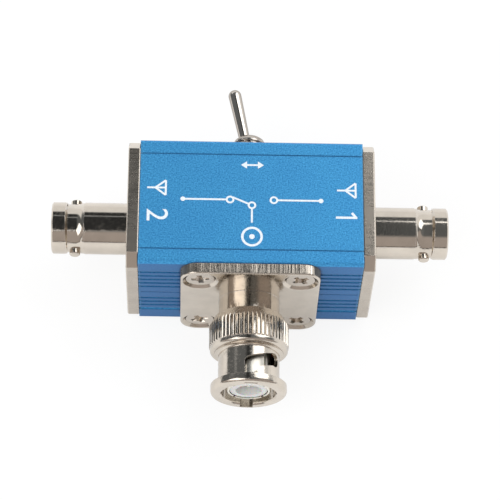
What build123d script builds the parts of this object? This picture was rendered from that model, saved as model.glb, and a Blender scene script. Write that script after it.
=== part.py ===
from build123d import *
import os
from math import asin, atan2, copysign, cos, degrees, radians, sin, sqrt, tan

# Coaxial antenna switch: an extruded box with a bayonet jack on each end plate, a bayonet plug on
# the front and a miniature toggle switch through the rear face.
#
# Millimetres, +Z up. The origin is the centre of the box's underside. The jacks point along +X
# and -X, the plug along -Y and the toggle along +Y, all at half the box's height.
# Each connector is drawn in its own frame: local z runs outward along its axis and starts at the
# box's centre, local y is up.

# ---------------------------------------------------------------- enclosure
BOX_LENGTH = 40.9
BOX_DEPTH = 25.0
BOX_HEIGHT = 25.0
BOX_WALL = 1.4
BOX_EDGE_RADIUS = 0.7
SEAM_OFFSET = 0.5         # the outer seam is this far below the middle in front, above it behind
SEAM_LIP = 0.75           # thickness of the outer lip of the seam
SEAM_GAP = 0.06
GROOVE_LAND_FAR = 2.5     # plain bands beside the seam, the far one over the face's middle
GROOVE_LAND_NEAR = 2.65
GROOVE_PITCH = 1.57
GROOVES_FAR = 5
GROOVES_NEAR = 3
GROOVE_RADIUS = 0.3
BROAD_GROOVE_AT = 7.6     # one broad groove follows the near ones
BROAD_GROOVE_RADIUS = 0.45
FINE_LINE_RADIUS = 0.09   # fine lines along the top and bottom faces and at the seam
TOP_LINE_INSET = 2.9
CHANNEL_INSET = 3.3       # from the box's outer faces to the middle of a screw channel
CHANNEL_BOSS_RADIUS = 2.3
CHANNEL_SLOT = 1.2
RAIL_HEIGHT = 5.9         # board rails, measured from the middle of the box
RAIL_THICKNESS = 0.7
RAIL_WIDTH = 1.2

# ---------------------------------------------------------------- end plates
PLATE_OVERHANG = 0.2      # the plates stand this much proud of the box all round
PLATE_THICKNESS = 2.2
PLATE_CORNER = 2.2
PLATE_EDGE = 0.2

# ---------------------------------------------------------------- countersunk screws
PLATE_SCREW_RADIUS = 1.25
PLATE_SCREW_HEAD = 2.35
PLATE_SCREW_LENGTH = 8.0
FLANGE_SCREW_RADIUS = 1.5
FLANGE_SCREW_HEAD = 2.6
FLANGE_SCREW_LENGTH = 6.0
FLANGE_SCREW_SPACING = 18.2
FLANGE_SCREW_TURNS = (25, 8, 52, 38)    # degrees; each recess stopped where it came tight
PLATE_SCREW_TURNS = (10, 65, 30, 48)
PLATE_SCREW_SUNK = 0.2    # how far the head's face lies below the plate
FLANGE_SCREW_SUNK = 0.4
SEAT_GAP = 0.04           # between the cone of the head and its seat
HEAD_RIM = 0.2
RECESS_LENGTH = 1.25      # sizes of the cross recess, as shares of the head's radius
RECESS_WIDTH = 0.36
RECESS_DEPTH = 0.5
RECESS_MIDDLE = 0.4
RECESS_POINT = 0.05
RECESS_TAPER = 18
THREAD_CLEARANCE = 0.04
HOLE_CLEARANCE = 0.15
TAPPED_SPARE = 0.6        # the tapped holes go this much deeper than the screws

# ---------------------------------------------------------------- jacks
JACK_RADIUS = 4.825
JACK_REACH = 14.15        # from the end plate to the mouth
JACK_THREAD_RADIUS = 4.7
JACK_TAIL = 3.9           # from the end plate's inner face to the end of the thread
JACK_BORE_RADIUS = 4.1
JACK_BORE_DEPTH = 9.4
JACK_TAIL_BORE = 3.1
JACK_MOUTH_CHAMFER = 0.25
JACK_NOSE_RADIUS = 2.35
JACK_NOSE_RECESS = 0.5
JACK_CONTACT_RADIUS = 1.0
JACK_CONTACT_BORE = 0.7
JACK_CONTACT_SETBACK = 0.3  # behind the end of the insulator's nose
JACK_CONTACT_SLIT = 0.25
JACK_CONTACT_SLIT_LENGTH = 5.0
JACK_CUP_LENGTH = 3.4
LUG_RADIUS = 1.0
LUG_SPAN = 11.0
LUG_FROM_MOUTH = 4.35
RELIEF_FROM_MOUTH = 2.5   # hollow round the barrel, deep above and below, shallow at the lugs
RELIEF_LENGTH = 3.6
RELIEF_DEPTH = 0.65
RELIEF_LEAST = 0.06
RELIEF_DRAFT = 0.04       # the shallow part is this much deeper at the end plate's side
RELIEF_STEEP = 0.45       # length of its steep wall, towards the mouth
RELIEF_SLOPE = 1.5        # length of its rounded wall, towards the end plate
JACK_WASHER_THICKNESS = 0.5
JACK_WASHER_RADIUS = 6.3
JACK_TAG_THICKNESS = 0.4
JACK_TAG_RADIUS = 6.0
JACK_TAG_REACH = 9.6
JACK_TAG_WIDTH = 2.4
JACK_NUT_THICKNESS = 2.3
JACK_NUT_FLATS = 11.1

# ---------------------------------------------------------------- plug
FLANGE_SIZE = 25.4
FLANGE_THICKNESS = 2.0
FLANGE_CORNER = 3.2
FLANGE_EDGE = 0.3
SPIGOT_RADIUS = 5.0
SPIGOT_LENGTH = 2.2
NECK_RADIUS = 5.6
NECK_LENGTH = 3.4
JOURNAL_RADIUS = 4.6
JOURNAL_LIP = 0.5
PLUG_BORE_RADIUS = 3.5
PLUG_SEAT_DEPTH = 1.9     # wider bore at the end of the journal
PLUG_CONTACT_RADIUS = 4.05
PLUG_CONTACT_WALL = 0.55
PLUG_CONTACT_SETBACK = 0.7
PLUG_ROOT_STEP = 0.25     # the sleeve's root, inside the body, is this much smaller
PLUG_CONTACT_SLITS = 4
PLUG_CONTACT_SLIT = 0.45
PLUG_CONTACT_SLIT_LENGTH = 7.0
PLUG_COLLAR_LENGTH = 0.95
PLUG_INSULATOR_SETBACK = 0.15
PLUG_SOCKET_RADIUS = 2.4
PLUG_SOCKET_DEPTH = 8.8
PLUG_PIN_RADIUS = 0.675
PLUG_PIN_SETBACK = 1.6
PLUG_PIN_TIP = 0.8
PLUG_CUP_RADIUS = 0.9
PLUG_CUP_LENGTH = 2.6
GASKET_THICKNESS = 1.0
GASKET_RADIUS = 4.72
CLIP_THICKNESS = 0.6
CLIP_RADIUS = 5.8
CLIP_GROOVE_DEPTH = 0.3
CLIP_OPENING = 1.4
SPRING_THICKNESS = 0.22
SPRING_RISE = 0.65        # the washer is bent this much across its width
THRUST_WASHER_THICKNESS = 0.3
BACK_RING_THICKNESS = 1.2
NUT_FLOAT = 0.6

# ---------------------------------------------------------------- coupling nut
NUT_LENGTH = 14.85
NUT_TURN = 3.0            # degrees, how far the entry slots stand from straight up and down
NUT_FACE_RADIUS = 6.35
NUT_BACK_CHAMFER = 1.8
KNURL_RADIUS = 7.3
KNURL_DEPTH = 0.28
KNURL_LENGTH = 3.9
KNURL_TEETH = 56
KNURL_LAND = 0.45         # flat top of a tooth, as a share of the pitch
NUT_LIP_RADIUS = 7.12
NUT_LIP_LENGTH = 0.75     # from the knurl to the end of the plain lip
NUT_SHOULDER_LENGTH = 0.9
NUT_STEP_RADIUS = 6.3     # small step half way down the shoulder
NUT_STEP_HEIGHT = 0.12
WAIST_RADIUS = 5.6
NUT_CAVITY_RADIUS = 6.0
NUT_BORE_RADIUS = 4.95
NUT_RING_RADIUS = 6.97
NUT_RING_LENGTH = 1.65
NUT_RING_BACK = 0.5
NUT_RING_ROUND = 0.75
NUT_RIM_RADIUS = 6.25
NUT_LEAD_IN = 0.25
BAYONET_WIDTH = 2.35
BAYONET_TURN = 53.0       # degrees from the entry slot to the locked place
BAYONET_RISE = 1.34       # along the axis, over that turn
BAYONET_LOCK_FROM_RIM = 5.7
BAYONET_POCKET = 0.25     # how far the pocket at the end reaches towards the rim
BAYONET_ROOF_RADIUS = 6.15
BAYONET_OVERCUT = 0.7      # how far the cutter reaches inside the nut's bore
BAYONET_STEPS = 12         # straight cuts that make the sloping run
STEP_OVERLAP = 0.1

# ---------------------------------------------------------------- toggle switch
TOGGLE_OFFSET = -0.2      # along +X; the toggle sits a little off the middle
INNER_WASHER_THICKNESS = 0.6
INNER_WASHER_RADIUS = 4.9
BUSHING_RADIUS = 3.0
BUSHING_LENGTH = 8.6
BUSHING_END_RADIUS = 2.25
BUSHING_END_ROUND = 0.95
BUSHING_FLANGE_RADIUS = 3.8
BUSHING_FLANGE_THICKNESS = 0.5
BRACKET_THICKNESS = 0.8
BRACKET_LEG = 0.4
BRACKET_LEG_WIDTH = 5.0
BRACKET_FOOT = 0.8
CASE_LENGTH = 12.6
CASE_WIDTH = 7.9
CASE_DEPTH = 9.3
CASE_WALL = 1.05
CASE_FLOOR = 1.2
CASE_ROOF = 0.6
LEVER_THROW = 11.6        # degrees each side of straight out
LEVER_PIVOT_DEPTH = 4.15  # inside the bushing's end
LEVER_BALL_RADIUS = 1.6
LEVER_LENGTH = 15.05      # from the pivot to the tip
LEVER_NECK_RADIUS = 1.03
LEVER_TIP_RADIUS = 1.25
LEVER_TAIL_RADIUS = 1.15
LEVER_TAIL_LENGTH = 6.3
LEVER_BORE_RADIUS = 0.84
LEVER_BORE_DEPTH = 4.2
LEVER_CLEARANCE = 0.08
BALL_CLEARANCE = 0.05
PLUNGER_RADIUS = 0.8
PLUNGER_REACH = 8.0       # from the pivot to the tip
PLUNGER_LENGTH = 3.1
PLUNGER_SPRING_WIRE = 0.18
PLUNGER_SPRING_TURNS = 6
ROCKER_GAP = 0.1
ROCKER_THICKNESS = 0.4
ROCKER_WIDTH = 2.2
ROCKER_END_GAP = 0.35     # between the rocker's ends and the case
ROCKER_VALLEY = 2.2       # half width of the valley that the plunger rides in
ROCKER_VALLEY_SLOPE = 15.0
ROCKER_THROW = 9.0        # degrees each side of level
TERMINAL_THICKNESS = 0.8
CASE_EDGE = 0.3
TERMINAL_WALL_GAP = 0.15  # between the outer terminals and the case's end walls
TERMINAL_WIDTH = 2.0
TERMINAL_REACH = 3.6      # behind the case
TERMINAL_HOLE = 0.6
TERMINAL_HOLE_INSET = 1.2
TOGGLE_WASHER_THICKNESS = 0.5
TOGGLE_WASHER_RADIUS = 4.9
TOGGLE_NUT_FLATS = 8.0
TOGGLE_NUT_THICKNESS = 2.0

# ---------------------------------------------------------------- wires and small fits
WIRE_RADIUS = 0.4
WIRE_LEAD = 3.0           # straight run out of a jack's solder cup
WIRE_SLANT = 2.4          # length along the jack's axis of the slanting run
COMMON_WIRE_LEAD = 0.2    # straight run out of the plug's cup, as a share of the way
COMMON_WIRE_LAP = 2.2     # how far the common wire lies along its terminal
CUP_BORE = 0.5
CUP_DEPTH = 1.6
SMALL_EDGE = 0.2          # chamfers at the ends of turned pieces
FINE_EDGE = 0.15
FIT = 0.03                # radial clearance of pieces that are assembled once
FACE_GAP = 0.05           # between the faces of pieces that move on each other
RUNNING = 0.05            # radial clearance of pieces that turn

# ---------------------------------------------------------------- derived places
MIDDLE = BOX_HEIGHT / 2
RIGHT = Plane(origin=(0, 0, MIDDLE), x_dir=(0, 1, 0), z_dir=(1, 0, 0))
LEFT = Plane(origin=(0, 0, MIDDLE), x_dir=(0, -1, 0), z_dir=(-1, 0, 0))
FRONT = Plane(origin=(0, 0, MIDDLE), x_dir=(1, 0, 0), z_dir=(0, -1, 0))
REAR = Plane(origin=(TOGGLE_OFFSET, 0, MIDDLE), x_dir=(-1, 0, 0), z_dir=(0, 1, 0))

CHANNEL_SPACING = (BOX_DEPTH - 2 * CHANNEL_INSET, BOX_HEIGHT - 2 * CHANNEL_INSET)
PLATE_IN = BOX_LENGTH / 2
PLATE_OUT = PLATE_IN + PLATE_THICKNESS
MOUTH = PLATE_OUT + JACK_REACH
RELIEF_START = MOUTH - RELIEF_FROM_MOUTH
RELIEF_END = RELIEF_START - RELIEF_LENGTH
JACK_TAIL_END = PLATE_IN - JACK_TAIL
JACK_BORE_END = MOUTH - JACK_BORE_DEPTH
JACK_CUP_END = JACK_TAIL_END - JACK_CUP_LENGTH

FACE = BOX_DEPTH / 2
FLANGE_FRONT = FACE + FLANGE_THICKNESS
NECK_END = FLANGE_FRONT + NECK_LENGTH
NUT_BACK = NECK_END + 2 * FACE_GAP
NUT_RIM = NUT_BACK + NUT_LENGTH
BACK_RING_END = NUT_BACK + BACK_RING_THICKNESS
THRUST_START = BACK_RING_END + FACE_GAP
THRUST_END = THRUST_START + THRUST_WASHER_THICKNESS
SPRING_START = THRUST_END + FACE_GAP
SPRING_END = SPRING_START + SPRING_RISE + SPRING_THICKNESS
CLIP_START = SPRING_END + FACE_GAP
CLIP_END = CLIP_START + CLIP_THICKNESS
JOURNAL_END = CLIP_END + JOURNAL_LIP
GASKET_END = JOURNAL_END + GASKET_THICKNESS
PLUG_SEAT = JOURNAL_END - PLUG_SEAT_DEPTH
PLUG_CONTACT_START = PLUG_SEAT + PLUG_COLLAR_LENGTH
PLUG_CONTACT_ROOT = GASKET_END + 2 * FACE_GAP
PLUG_ROOT_RADIUS = PLUG_CONTACT_RADIUS - PLUG_ROOT_STEP
PLUG_CONTACT_END = NUT_RIM - PLUG_CONTACT_SETBACK
PLUG_INSULATOR_END = PLUG_CONTACT_END - PLUG_INSULATOR_SETBACK
PLUG_SOCKET_FLOOR = PLUG_INSULATOR_END - PLUG_SOCKET_DEPTH
PLUG_PIN_END = NUT_RIM - PLUG_PIN_SETBACK
SPIGOT_END = FACE - SPIGOT_LENGTH
PLUG_CUP_END = SPIGOT_END - PLUG_CUP_LENGTH
KNURL_START = NUT_BACK + NUT_BACK_CHAMFER
KNURL_END = KNURL_START + KNURL_LENGTH
NUT_LIP_END = KNURL_END + NUT_LIP_LENGTH
WAIST_START = NUT_LIP_END + NUT_SHOULDER_LENGTH
CAVITY_END = GASKET_END + FACE_GAP
RING_START = NUT_RIM - NUT_RING_LENGTH
BAYONET_LOCK = NUT_RIM - BAYONET_LOCK_FROM_RIM
BAYONET_START = BAYONET_LOCK + BAYONET_RISE

CASE_FRONT = FACE - BOX_WALL - INNER_WASHER_THICKNESS
BUSHING_END = CASE_FRONT + BUSHING_LENGTH
BRACKET_BACK = CASE_FRONT - BRACKET_THICKNESS
BUSHING_START = BRACKET_BACK - BUSHING_FLANGE_THICKNESS
CASE_BACK = BRACKET_BACK - CASE_DEPTH
CAVITY_ROOF = BUSHING_START - CASE_ROOF
PIVOT = BUSHING_END - LEVER_PIVOT_DEPTH
CASE_HALF_CAVITY = CASE_LENGTH / 2 - CASE_WALL
TERMINAL_PITCH = CASE_HALF_CAVITY - TERMINAL_WALL_GAP - TERMINAL_THICKNESS / 2
ROCKER_HALF_LENGTH = CASE_HALF_CAVITY - ROCKER_END_GAP
TERMINAL_END = CASE_BACK - TERMINAL_REACH
TERMINAL_HOLE_AT = TERMINAL_END + TERMINAL_HOLE_INSET
FULCRUM_RADIUS = TERMINAL_THICKNESS / 2
ROCKER_SEAT = FULCRUM_RADIUS + ROCKER_GAP           # from the fulcrum's axis to the rocker
ROCKER_TOP = ROCKER_SEAT + ROCKER_THICKNESS
FULCRUM = PIVOT - PLUNGER_REACH - ROCKER_GAP - ROCKER_TOP


# ---------------------------------------------------------------- shared shapes
def turned(*outline):
    """Solid of revolution about local z, from its (radius, height) corners."""
    corners = [(radius, 0, height) for radius, height in outline]
    return revolve(make_face(Polyline(*corners, close=True)), Axis.Z)


def rod(radius, start, end):
    return Pos(0, 0, (start + end) / 2) * Cylinder(radius, abs(end - start))


def tube(outer, inner, start, end):
    return rod(outer, start, end) - rod(inner, start, end)


def prism(sketch, start, end):
    """Extrude a sketch in the local xy plane between two heights."""
    return Pos(0, 0, start) * extrude(sketch, end - start)


def corners_of(width, height):
    return [(x, y) for x in (-width / 2, width / 2) for y in (-height / 2, height / 2)]


def hex_nut(flats, bore, start, end):
    blank = prism(RegularPolygon(flats / 2, 6, major_radius=False), start, end)
    corner = flats / sqrt(3)
    bevel = (corner - flats / 2) * tan(radians(30))
    turned_blank = turned(
        (0, start), (flats / 2, start), (corner, start + bevel),
        (corner, end - bevel), (flats / 2, end), (0, end),
    )
    return (blank & turned_blank) - rod(bore, start, end)


def tooth_washer(outer, bore, start, thickness):
    """Internal-tooth lock washer: a flat ring with teeth that reach in to the thread."""
    teeth = 10
    root = bore + (outer - bore) * 0.45
    gap_width = 2 * root * sin(radians(180 / teeth)) * 0.4
    washer = tube(outer, bore, start, start + thickness)
    for index in range(teeth):
        gap = Pos((bore + root) / 2, 0, start + thickness / 2) * Box(
            root - bore + thickness, gap_width, 2 * thickness
        )
        washer -= Rot(0, 0, 360 * index / teeth) * gap
    return washer


def cross_recess(head_radius):
    """Tapered cross with a conical middle, cut in a screw head whose face is at local z = 0."""
    depth = head_radius * RECESS_DEPTH
    plan = Rectangle(head_radius * RECESS_LENGTH, head_radius * RECESS_WIDTH)
    arm = extrude(plan, -depth, taper=RECESS_TAPER)
    middle = Pos(0, 0, -depth / 2) * Cone(
        head_radius * RECESS_POINT, head_radius * RECESS_MIDDLE, depth
    )
    return arm + Rot(0, 0, 90) * arm + middle


def countersunk_screw(shank, head, length):
    """Head face at local z = 0, shank towards -z."""
    cone = head - shank
    blank = turned(
        (0, 0), (head, 0), (head, -HEAD_RIM), (shank, -HEAD_RIM - cone),
        (shank, -length + shank / 2), (shank / 2, -length), (0, -length),
    )
    return blank - cross_recess(head)


def countersink(shank, head, length, sunk):
    """Cutter for a countersunk screw whose face lies sunk below the plate, at local z = 0."""
    hole = shank + HOLE_CLEARANCE
    mouth = head + SEAT_GAP + HEAD_RIM + sunk
    return turned(
        (0, 1), (mouth, 1), (mouth, 0), (hole, hole - mouth), (hole, -length), (0, -length),
    )


def solder_cup_bore(end):
    return rod(CUP_BORE, end, end + CUP_DEPTH)


# ---------------------------------------------------------------- enclosure
def face_grooves():
    """Heights on the front face, measured from the middle of the box, and radii of its grooves."""
    heights = [GROOVE_LAND_FAR + i * GROOVE_PITCH for i in range(GROOVES_FAR)]
    heights += [-GROOVE_LAND_NEAR - i * GROOVE_PITCH for i in range(GROOVES_NEAR)]
    grooves = [(height, GROOVE_RADIUS) for height in heights]
    grooves += [(-BROAD_GROOVE_AT, BROAD_GROOVE_RADIUS), (0, FINE_LINE_RADIUS)]
    return [(height - SEAM_OFFSET, radius) for height, radius in grooves]


def box_section():
    """Cross-section of the closed box; local x is the depth, local y the height."""
    outline = RectangleRounded(BOX_DEPTH, BOX_HEIGHT, BOX_EDGE_RADIUS)
    hollow = Rectangle(BOX_DEPTH - 2 * BOX_WALL, BOX_HEIGHT - 2 * BOX_WALL)
    section = outline - hollow
    for x, y in corners_of(*CHANNEL_SPACING):
        corner = rectangle_between(x, y, x + copysign(BOX_DEPTH, x), y + copysign(BOX_HEIGHT, y))
        section += (Pos(x, y) * Circle(CHANNEL_BOSS_RADIUS) + corner) & outline
    rail_x = BOX_DEPTH / 2 - BOX_WALL - RAIL_WIDTH / 2
    for x in (-rail_x, rail_x):
        for y in (-RAIL_HEIGHT, RAIL_HEIGHT):
            section += Pos(x, y) * Rectangle(RAIL_WIDTH + BOX_WALL, RAIL_THICKNESS)
    for x, y in corners_of(*CHANNEL_SPACING):
        section -= Pos(x, y) * Circle(PLATE_SCREW_RADIUS + THREAD_CLEARANCE)
        slot = Pos(-CHANNEL_BOSS_RADIUS, 0) * Rectangle(2 * CHANNEL_BOSS_RADIUS, CHANNEL_SLOT)
        section -= Pos(x, y) * Rot(0, 0, degrees(atan2(copysign(1, y), copysign(1, x)))) * slot
    for height, radius in face_grooves():
        section -= Pos(-BOX_DEPTH / 2, height) * Circle(radius)
        section -= Pos(BOX_DEPTH / 2, -height) * Circle(radius)
    line_x = BOX_DEPTH / 2 - TOP_LINE_INSET
    for x in (-line_x, line_x):
        for y in (-BOX_HEIGHT / 2, BOX_HEIGHT / 2):
            section -= Pos(x, y) * Circle(FINE_LINE_RADIUS)
    return section


def rectangle_between(x0, y0, x1, y1):
    return Pos((x0 + x1) / 2, (y0 + y1) / 2) * Rectangle(abs(x1 - x0), abs(y1 - y0))


def upper_half():
    """The part of the section's plane that belongs to the upper shell.

    In front the upper shell's outer lip hangs over the lower shell's tongue, and behind the
    upper shell's tongue stands inside the lower shell's lip, so one extrusion makes both shells.
    """
    half = BOX_DEPTH / 2
    gap = SEAM_GAP / 2
    lip = half - SEAM_LIP
    inside = half - BOX_WALL - RAIL_WIDTH
    region = rectangle_between(-half - 1, gap, half + 1, BOX_HEIGHT)
    region += rectangle_between(-half - 1, -SEAM_OFFSET + gap, -lip - gap, 1)
    region -= rectangle_between(-lip - gap, -1, -inside, SEAM_OFFSET + gap)
    region -= rectangle_between(lip - gap, -1, half + 1, SEAM_OFFSET + gap)
    region += rectangle_between(inside, -SEAM_OFFSET + gap, lip - gap, 1)
    return region


def wall_openings():
    """Holes in the front and rear walls: plug spigot, flange screws, toggle bushing."""
    screw = FLANGE_SCREW_RADIUS + THREAD_CLEARANCE
    depth = FLANGE_SCREW_LENGTH - FLANGE_THICKNESS + TAPPED_SPARE
    front = rod(SPIGOT_RADIUS + HOLE_CLEARANCE, FACE - BOX_WALL - RAIL_WIDTH, FACE + 1)
    for x, y in corners_of(FLANGE_SCREW_SPACING, FLANGE_SCREW_SPACING):
        front += Pos(x, y, 0) * rod(screw, FACE - depth, FACE + 1)
    rear = rod(BUSHING_RADIUS + HOLE_CLEARANCE, FACE - BOX_WALL - RAIL_WIDTH, FACE + 1)
    return FRONT.location * front + REAR.location * rear


def shells():
    half_section = box_section() & upper_half()
    half = extrude(half_section, BOX_LENGTH / 2, both=True)
    upper = RIGHT.location * half
    lower = RIGHT.location * (Rot(0, 0, 180) * half)
    openings = wall_openings()
    return upper - openings, lower - openings


def end_plate():
    outline = Rectangle(BOX_DEPTH + 2 * PLATE_OVERHANG, BOX_HEIGHT + 2 * PLATE_OVERHANG)
    plate = prism(chamfer(outline.vertices(), PLATE_CORNER), PLATE_IN, PLATE_OUT)
    plate = chamfer(plate.faces().sort_by(Axis.Z)[-1].edges(), PLATE_EDGE)
    plate = chamfer(plate.faces().sort_by(Axis.Z)[0].edges(), PLATE_EDGE / 2)
    plate -= rod(JACK_THREAD_RADIUS + FIT, PLATE_IN, PLATE_OUT)
    for x, y in corners_of(*CHANNEL_SPACING):
        plate -= Pos(x, y, PLATE_OUT) * countersink(
            PLATE_SCREW_RADIUS, PLATE_SCREW_HEAD, PLATE_SCREW_LENGTH, PLATE_SCREW_SUNK
        )
    return plate


def end_plate_screws():
    screw = countersunk_screw(PLATE_SCREW_RADIUS, PLATE_SCREW_HEAD, PLATE_SCREW_LENGTH)
    top = PLATE_OUT - PLATE_SCREW_SUNK
    return [
        Pos(x, y, top) * Rot(0, 0, turn) * screw
        for (x, y), turn in zip(corners_of(*CHANNEL_SPACING), PLATE_SCREW_TURNS)
    ]


# ---------------------------------------------------------------- jacks
def relief_cutter(side):
    """Deep part of the hollow round the barrel, above (side 1) or below (side -1).

    Its floor is round about an axis beside the barrel's own, so it fades out towards the lugs.
    """
    floor = JACK_RADIUS - RELIEF_LEAST
    rim = floor + RELIEF_DEPTH
    outside = rim + 1
    rounding = (RELIEF_SLOPE**2 + RELIEF_DEPTH**2) / (2 * RELIEF_DEPTH)
    half_turn = asin(RELIEF_SLOPE / rounding) / 2
    foot = RELIEF_END + RELIEF_SLOPE
    wall = ThreePointArc(
        (floor, 0, foot),
        (floor + rounding * (1 - cos(half_turn)), 0, foot - rounding * sin(half_turn)),
        (rim, 0, RELIEF_END),
    )
    edges = wall + Polyline(
        (rim, 0, RELIEF_END), (outside, 0, RELIEF_END), (outside, 0, RELIEF_START),
        (rim, 0, RELIEF_START), (floor, 0, RELIEF_START - RELIEF_STEEP), (floor, 0, foot),
    )
    ring = Pos(0, side * (RELIEF_LEAST - RELIEF_DEPTH), 0) * revolve(make_face(edges), Axis.Z)
    half = Pos(0, side * outside, (RELIEF_START + RELIEF_END) / 2) * Box(
        4 * outside, 2 * outside, 2 * RELIEF_LENGTH
    )
    return ring & half


def jack_body():
    relief = JACK_RADIUS - RELIEF_LEAST
    body = turned(
        (JACK_TAIL_BORE, JACK_TAIL_END),
        (JACK_THREAD_RADIUS, JACK_TAIL_END),
        (JACK_THREAD_RADIUS, PLATE_OUT),
        (JACK_RADIUS, PLATE_OUT),
        (JACK_RADIUS, RELIEF_END),
        (relief - RELIEF_DRAFT, RELIEF_END),
        (relief, RELIEF_START),
        (JACK_RADIUS, RELIEF_START),
        (JACK_RADIUS, MOUTH - JACK_MOUTH_CHAMFER),
        (JACK_RADIUS - JACK_MOUTH_CHAMFER, MOUTH),
        (JACK_BORE_RADIUS + JACK_MOUTH_CHAMFER, MOUTH),
        (JACK_BORE_RADIUS, MOUTH - JACK_MOUTH_CHAMFER),
        (JACK_BORE_RADIUS, JACK_BORE_END),
        (JACK_TAIL_BORE, JACK_BORE_END),
    )
    for side in (-1, 1):
        body -= relief_cutter(side)
    inner = (JACK_BORE_RADIUS + relief) / 2
    lug = chamfer(rod(LUG_RADIUS, inner, LUG_SPAN / 2).edges().sort_by(Axis.Z)[-1:], FINE_EDGE)
    for side in (-90, 90):
        body += Pos(0, 0, MOUTH - LUG_FROM_MOUTH) * Rot(0, side, 0) * lug
    return body


def jack_insulator():
    nose_end = MOUTH - JACK_NOSE_RECESS
    outer = JACK_TAIL_BORE - FIT
    blank = turned(
        (0, JACK_TAIL_END), (outer, JACK_TAIL_END), (outer, JACK_BORE_END),
        (JACK_NOSE_RADIUS, JACK_BORE_END), (JACK_NOSE_RADIUS, nose_end - SMALL_EDGE),
        (JACK_NOSE_RADIUS - SMALL_EDGE, nose_end), (0, nose_end),
    )
    return blank - rod(JACK_CONTACT_RADIUS + FIT, JACK_TAIL_END, nose_end)


def jack_contact():
    end = MOUTH - JACK_NOSE_RECESS - JACK_CONTACT_SETBACK
    contact = turned(
        (0, JACK_CUP_END), (JACK_CONTACT_RADIUS, JACK_CUP_END),
        (JACK_CONTACT_RADIUS, end - SMALL_EDGE), (JACK_CONTACT_RADIUS - SMALL_EDGE, end), (0, end),
    )
    contact -= rod(JACK_CONTACT_BORE, end - JACK_CONTACT_SLIT_LENGTH, end)
    slit = Pos(0, 0, end - JACK_CONTACT_SLIT_LENGTH / 2) * Box(
        2 * JACK_CONTACT_RADIUS + 1, JACK_CONTACT_SLIT, JACK_CONTACT_SLIT_LENGTH
    )
    return contact - slit - Rot(0, 0, 90) * slit - solder_cup_bore(JACK_CUP_END)


def jack_hardware():
    """Lock washer, solder tag and nut on the jack's tail, from the plate inwards."""
    bore = JACK_THREAD_RADIUS + FIT
    washer_end = PLATE_IN - JACK_WASHER_THICKNESS
    tag_end = washer_end - JACK_TAG_THICKNESS
    nut_end = tag_end - JACK_NUT_THICKNESS
    washer = tooth_washer(JACK_WASHER_RADIUS, bore, washer_end, JACK_WASHER_THICKNESS)
    tag_arm = Pos(0, JACK_TAG_REACH / 2) * SlotOverall(JACK_TAG_REACH, JACK_TAG_WIDTH, rotation=90)
    tag_outline = Circle(JACK_TAG_RADIUS) + tag_arm
    tag_outline -= Pos(0, JACK_TAG_REACH - JACK_TAG_WIDTH / 2) * Circle(JACK_TAG_WIDTH / 4)
    tag_outline -= Circle(bore)
    tag = prism(tag_outline, tag_end, washer_end)
    nut = hex_nut(JACK_NUT_FLATS, bore, nut_end, tag_end)
    return washer, tag, nut


# ---------------------------------------------------------------- plug
def plug_body():
    """Square flange, spigot behind it, neck and journal in front of it."""
    flange = prism(RectangleRounded(FLANGE_SIZE, FLANGE_SIZE, FLANGE_CORNER), FACE, FLANGE_FRONT)
    flange = fillet(flange.faces().sort_by(Axis.Z)[-1].edges(), FLANGE_EDGE)
    for x, y in corners_of(FLANGE_SCREW_SPACING, FLANGE_SCREW_SPACING):
        flange -= Pos(x, y, FLANGE_FRONT) * countersink(
            FLANGE_SCREW_RADIUS, FLANGE_SCREW_HEAD, FLANGE_SCREW_LENGTH, FLANGE_SCREW_SUNK
        )
    groove = JOURNAL_RADIUS - CLIP_GROOVE_DEPTH
    inside_flange = (FACE + FLANGE_FRONT) / 2
    core = turned(
        (0, SPIGOT_END), (SPIGOT_RADIUS, SPIGOT_END), (SPIGOT_RADIUS, inside_flange),
        (NECK_RADIUS, inside_flange), (NECK_RADIUS, NECK_END - FINE_EDGE),
        (NECK_RADIUS - FINE_EDGE, NECK_END),
        (JOURNAL_RADIUS, NECK_END), (JOURNAL_RADIUS, CLIP_START - FIT), (groove, CLIP_START - FIT),
        (groove, CLIP_END + FIT), (JOURNAL_RADIUS, CLIP_END + FIT), (JOURNAL_RADIUS, JOURNAL_END),
        (0, JOURNAL_END),
    )
    body = flange + core
    body -= rod(PLUG_BORE_RADIUS, SPIGOT_END, PLUG_SEAT)
    return body - rod(PLUG_ROOT_RADIUS + FIT, PLUG_SEAT, JOURNAL_END)


def flange_screws():
    screw = countersunk_screw(FLANGE_SCREW_RADIUS, FLANGE_SCREW_HEAD, FLANGE_SCREW_LENGTH)
    top = FLANGE_FRONT - FLANGE_SCREW_SUNK
    corners = corners_of(FLANGE_SCREW_SPACING, FLANGE_SCREW_SPACING)
    return [
        Pos(x, y, top) * Rot(0, 0, turn) * screw
        for (x, y), turn in zip(corners, FLANGE_SCREW_TURNS)
    ]


def plug_outer_contact():
    outer = PLUG_CONTACT_RADIUS
    inner = outer - PLUG_CONTACT_WALL
    root = PLUG_ROOT_RADIUS
    sleeve = turned(
        (inner, PLUG_CONTACT_START), (root, PLUG_CONTACT_START), (root, PLUG_CONTACT_ROOT),
        (outer, PLUG_CONTACT_ROOT), (outer, PLUG_CONTACT_END - SMALL_EDGE),
        (outer - SMALL_EDGE, PLUG_CONTACT_END), (inner, PLUG_CONTACT_END),
    )
    slit = Pos(0, 0, PLUG_CONTACT_END - PLUG_CONTACT_SLIT_LENGTH / 2) * Box(
        2 * PLUG_CONTACT_RADIUS + 1, PLUG_CONTACT_SLIT, PLUG_CONTACT_SLIT_LENGTH
    )
    for index in range(PLUG_CONTACT_SLITS // 2):
        sleeve -= Rot(0, 0, 45 + 360 * index / PLUG_CONTACT_SLITS) * slit
    return sleeve


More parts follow.
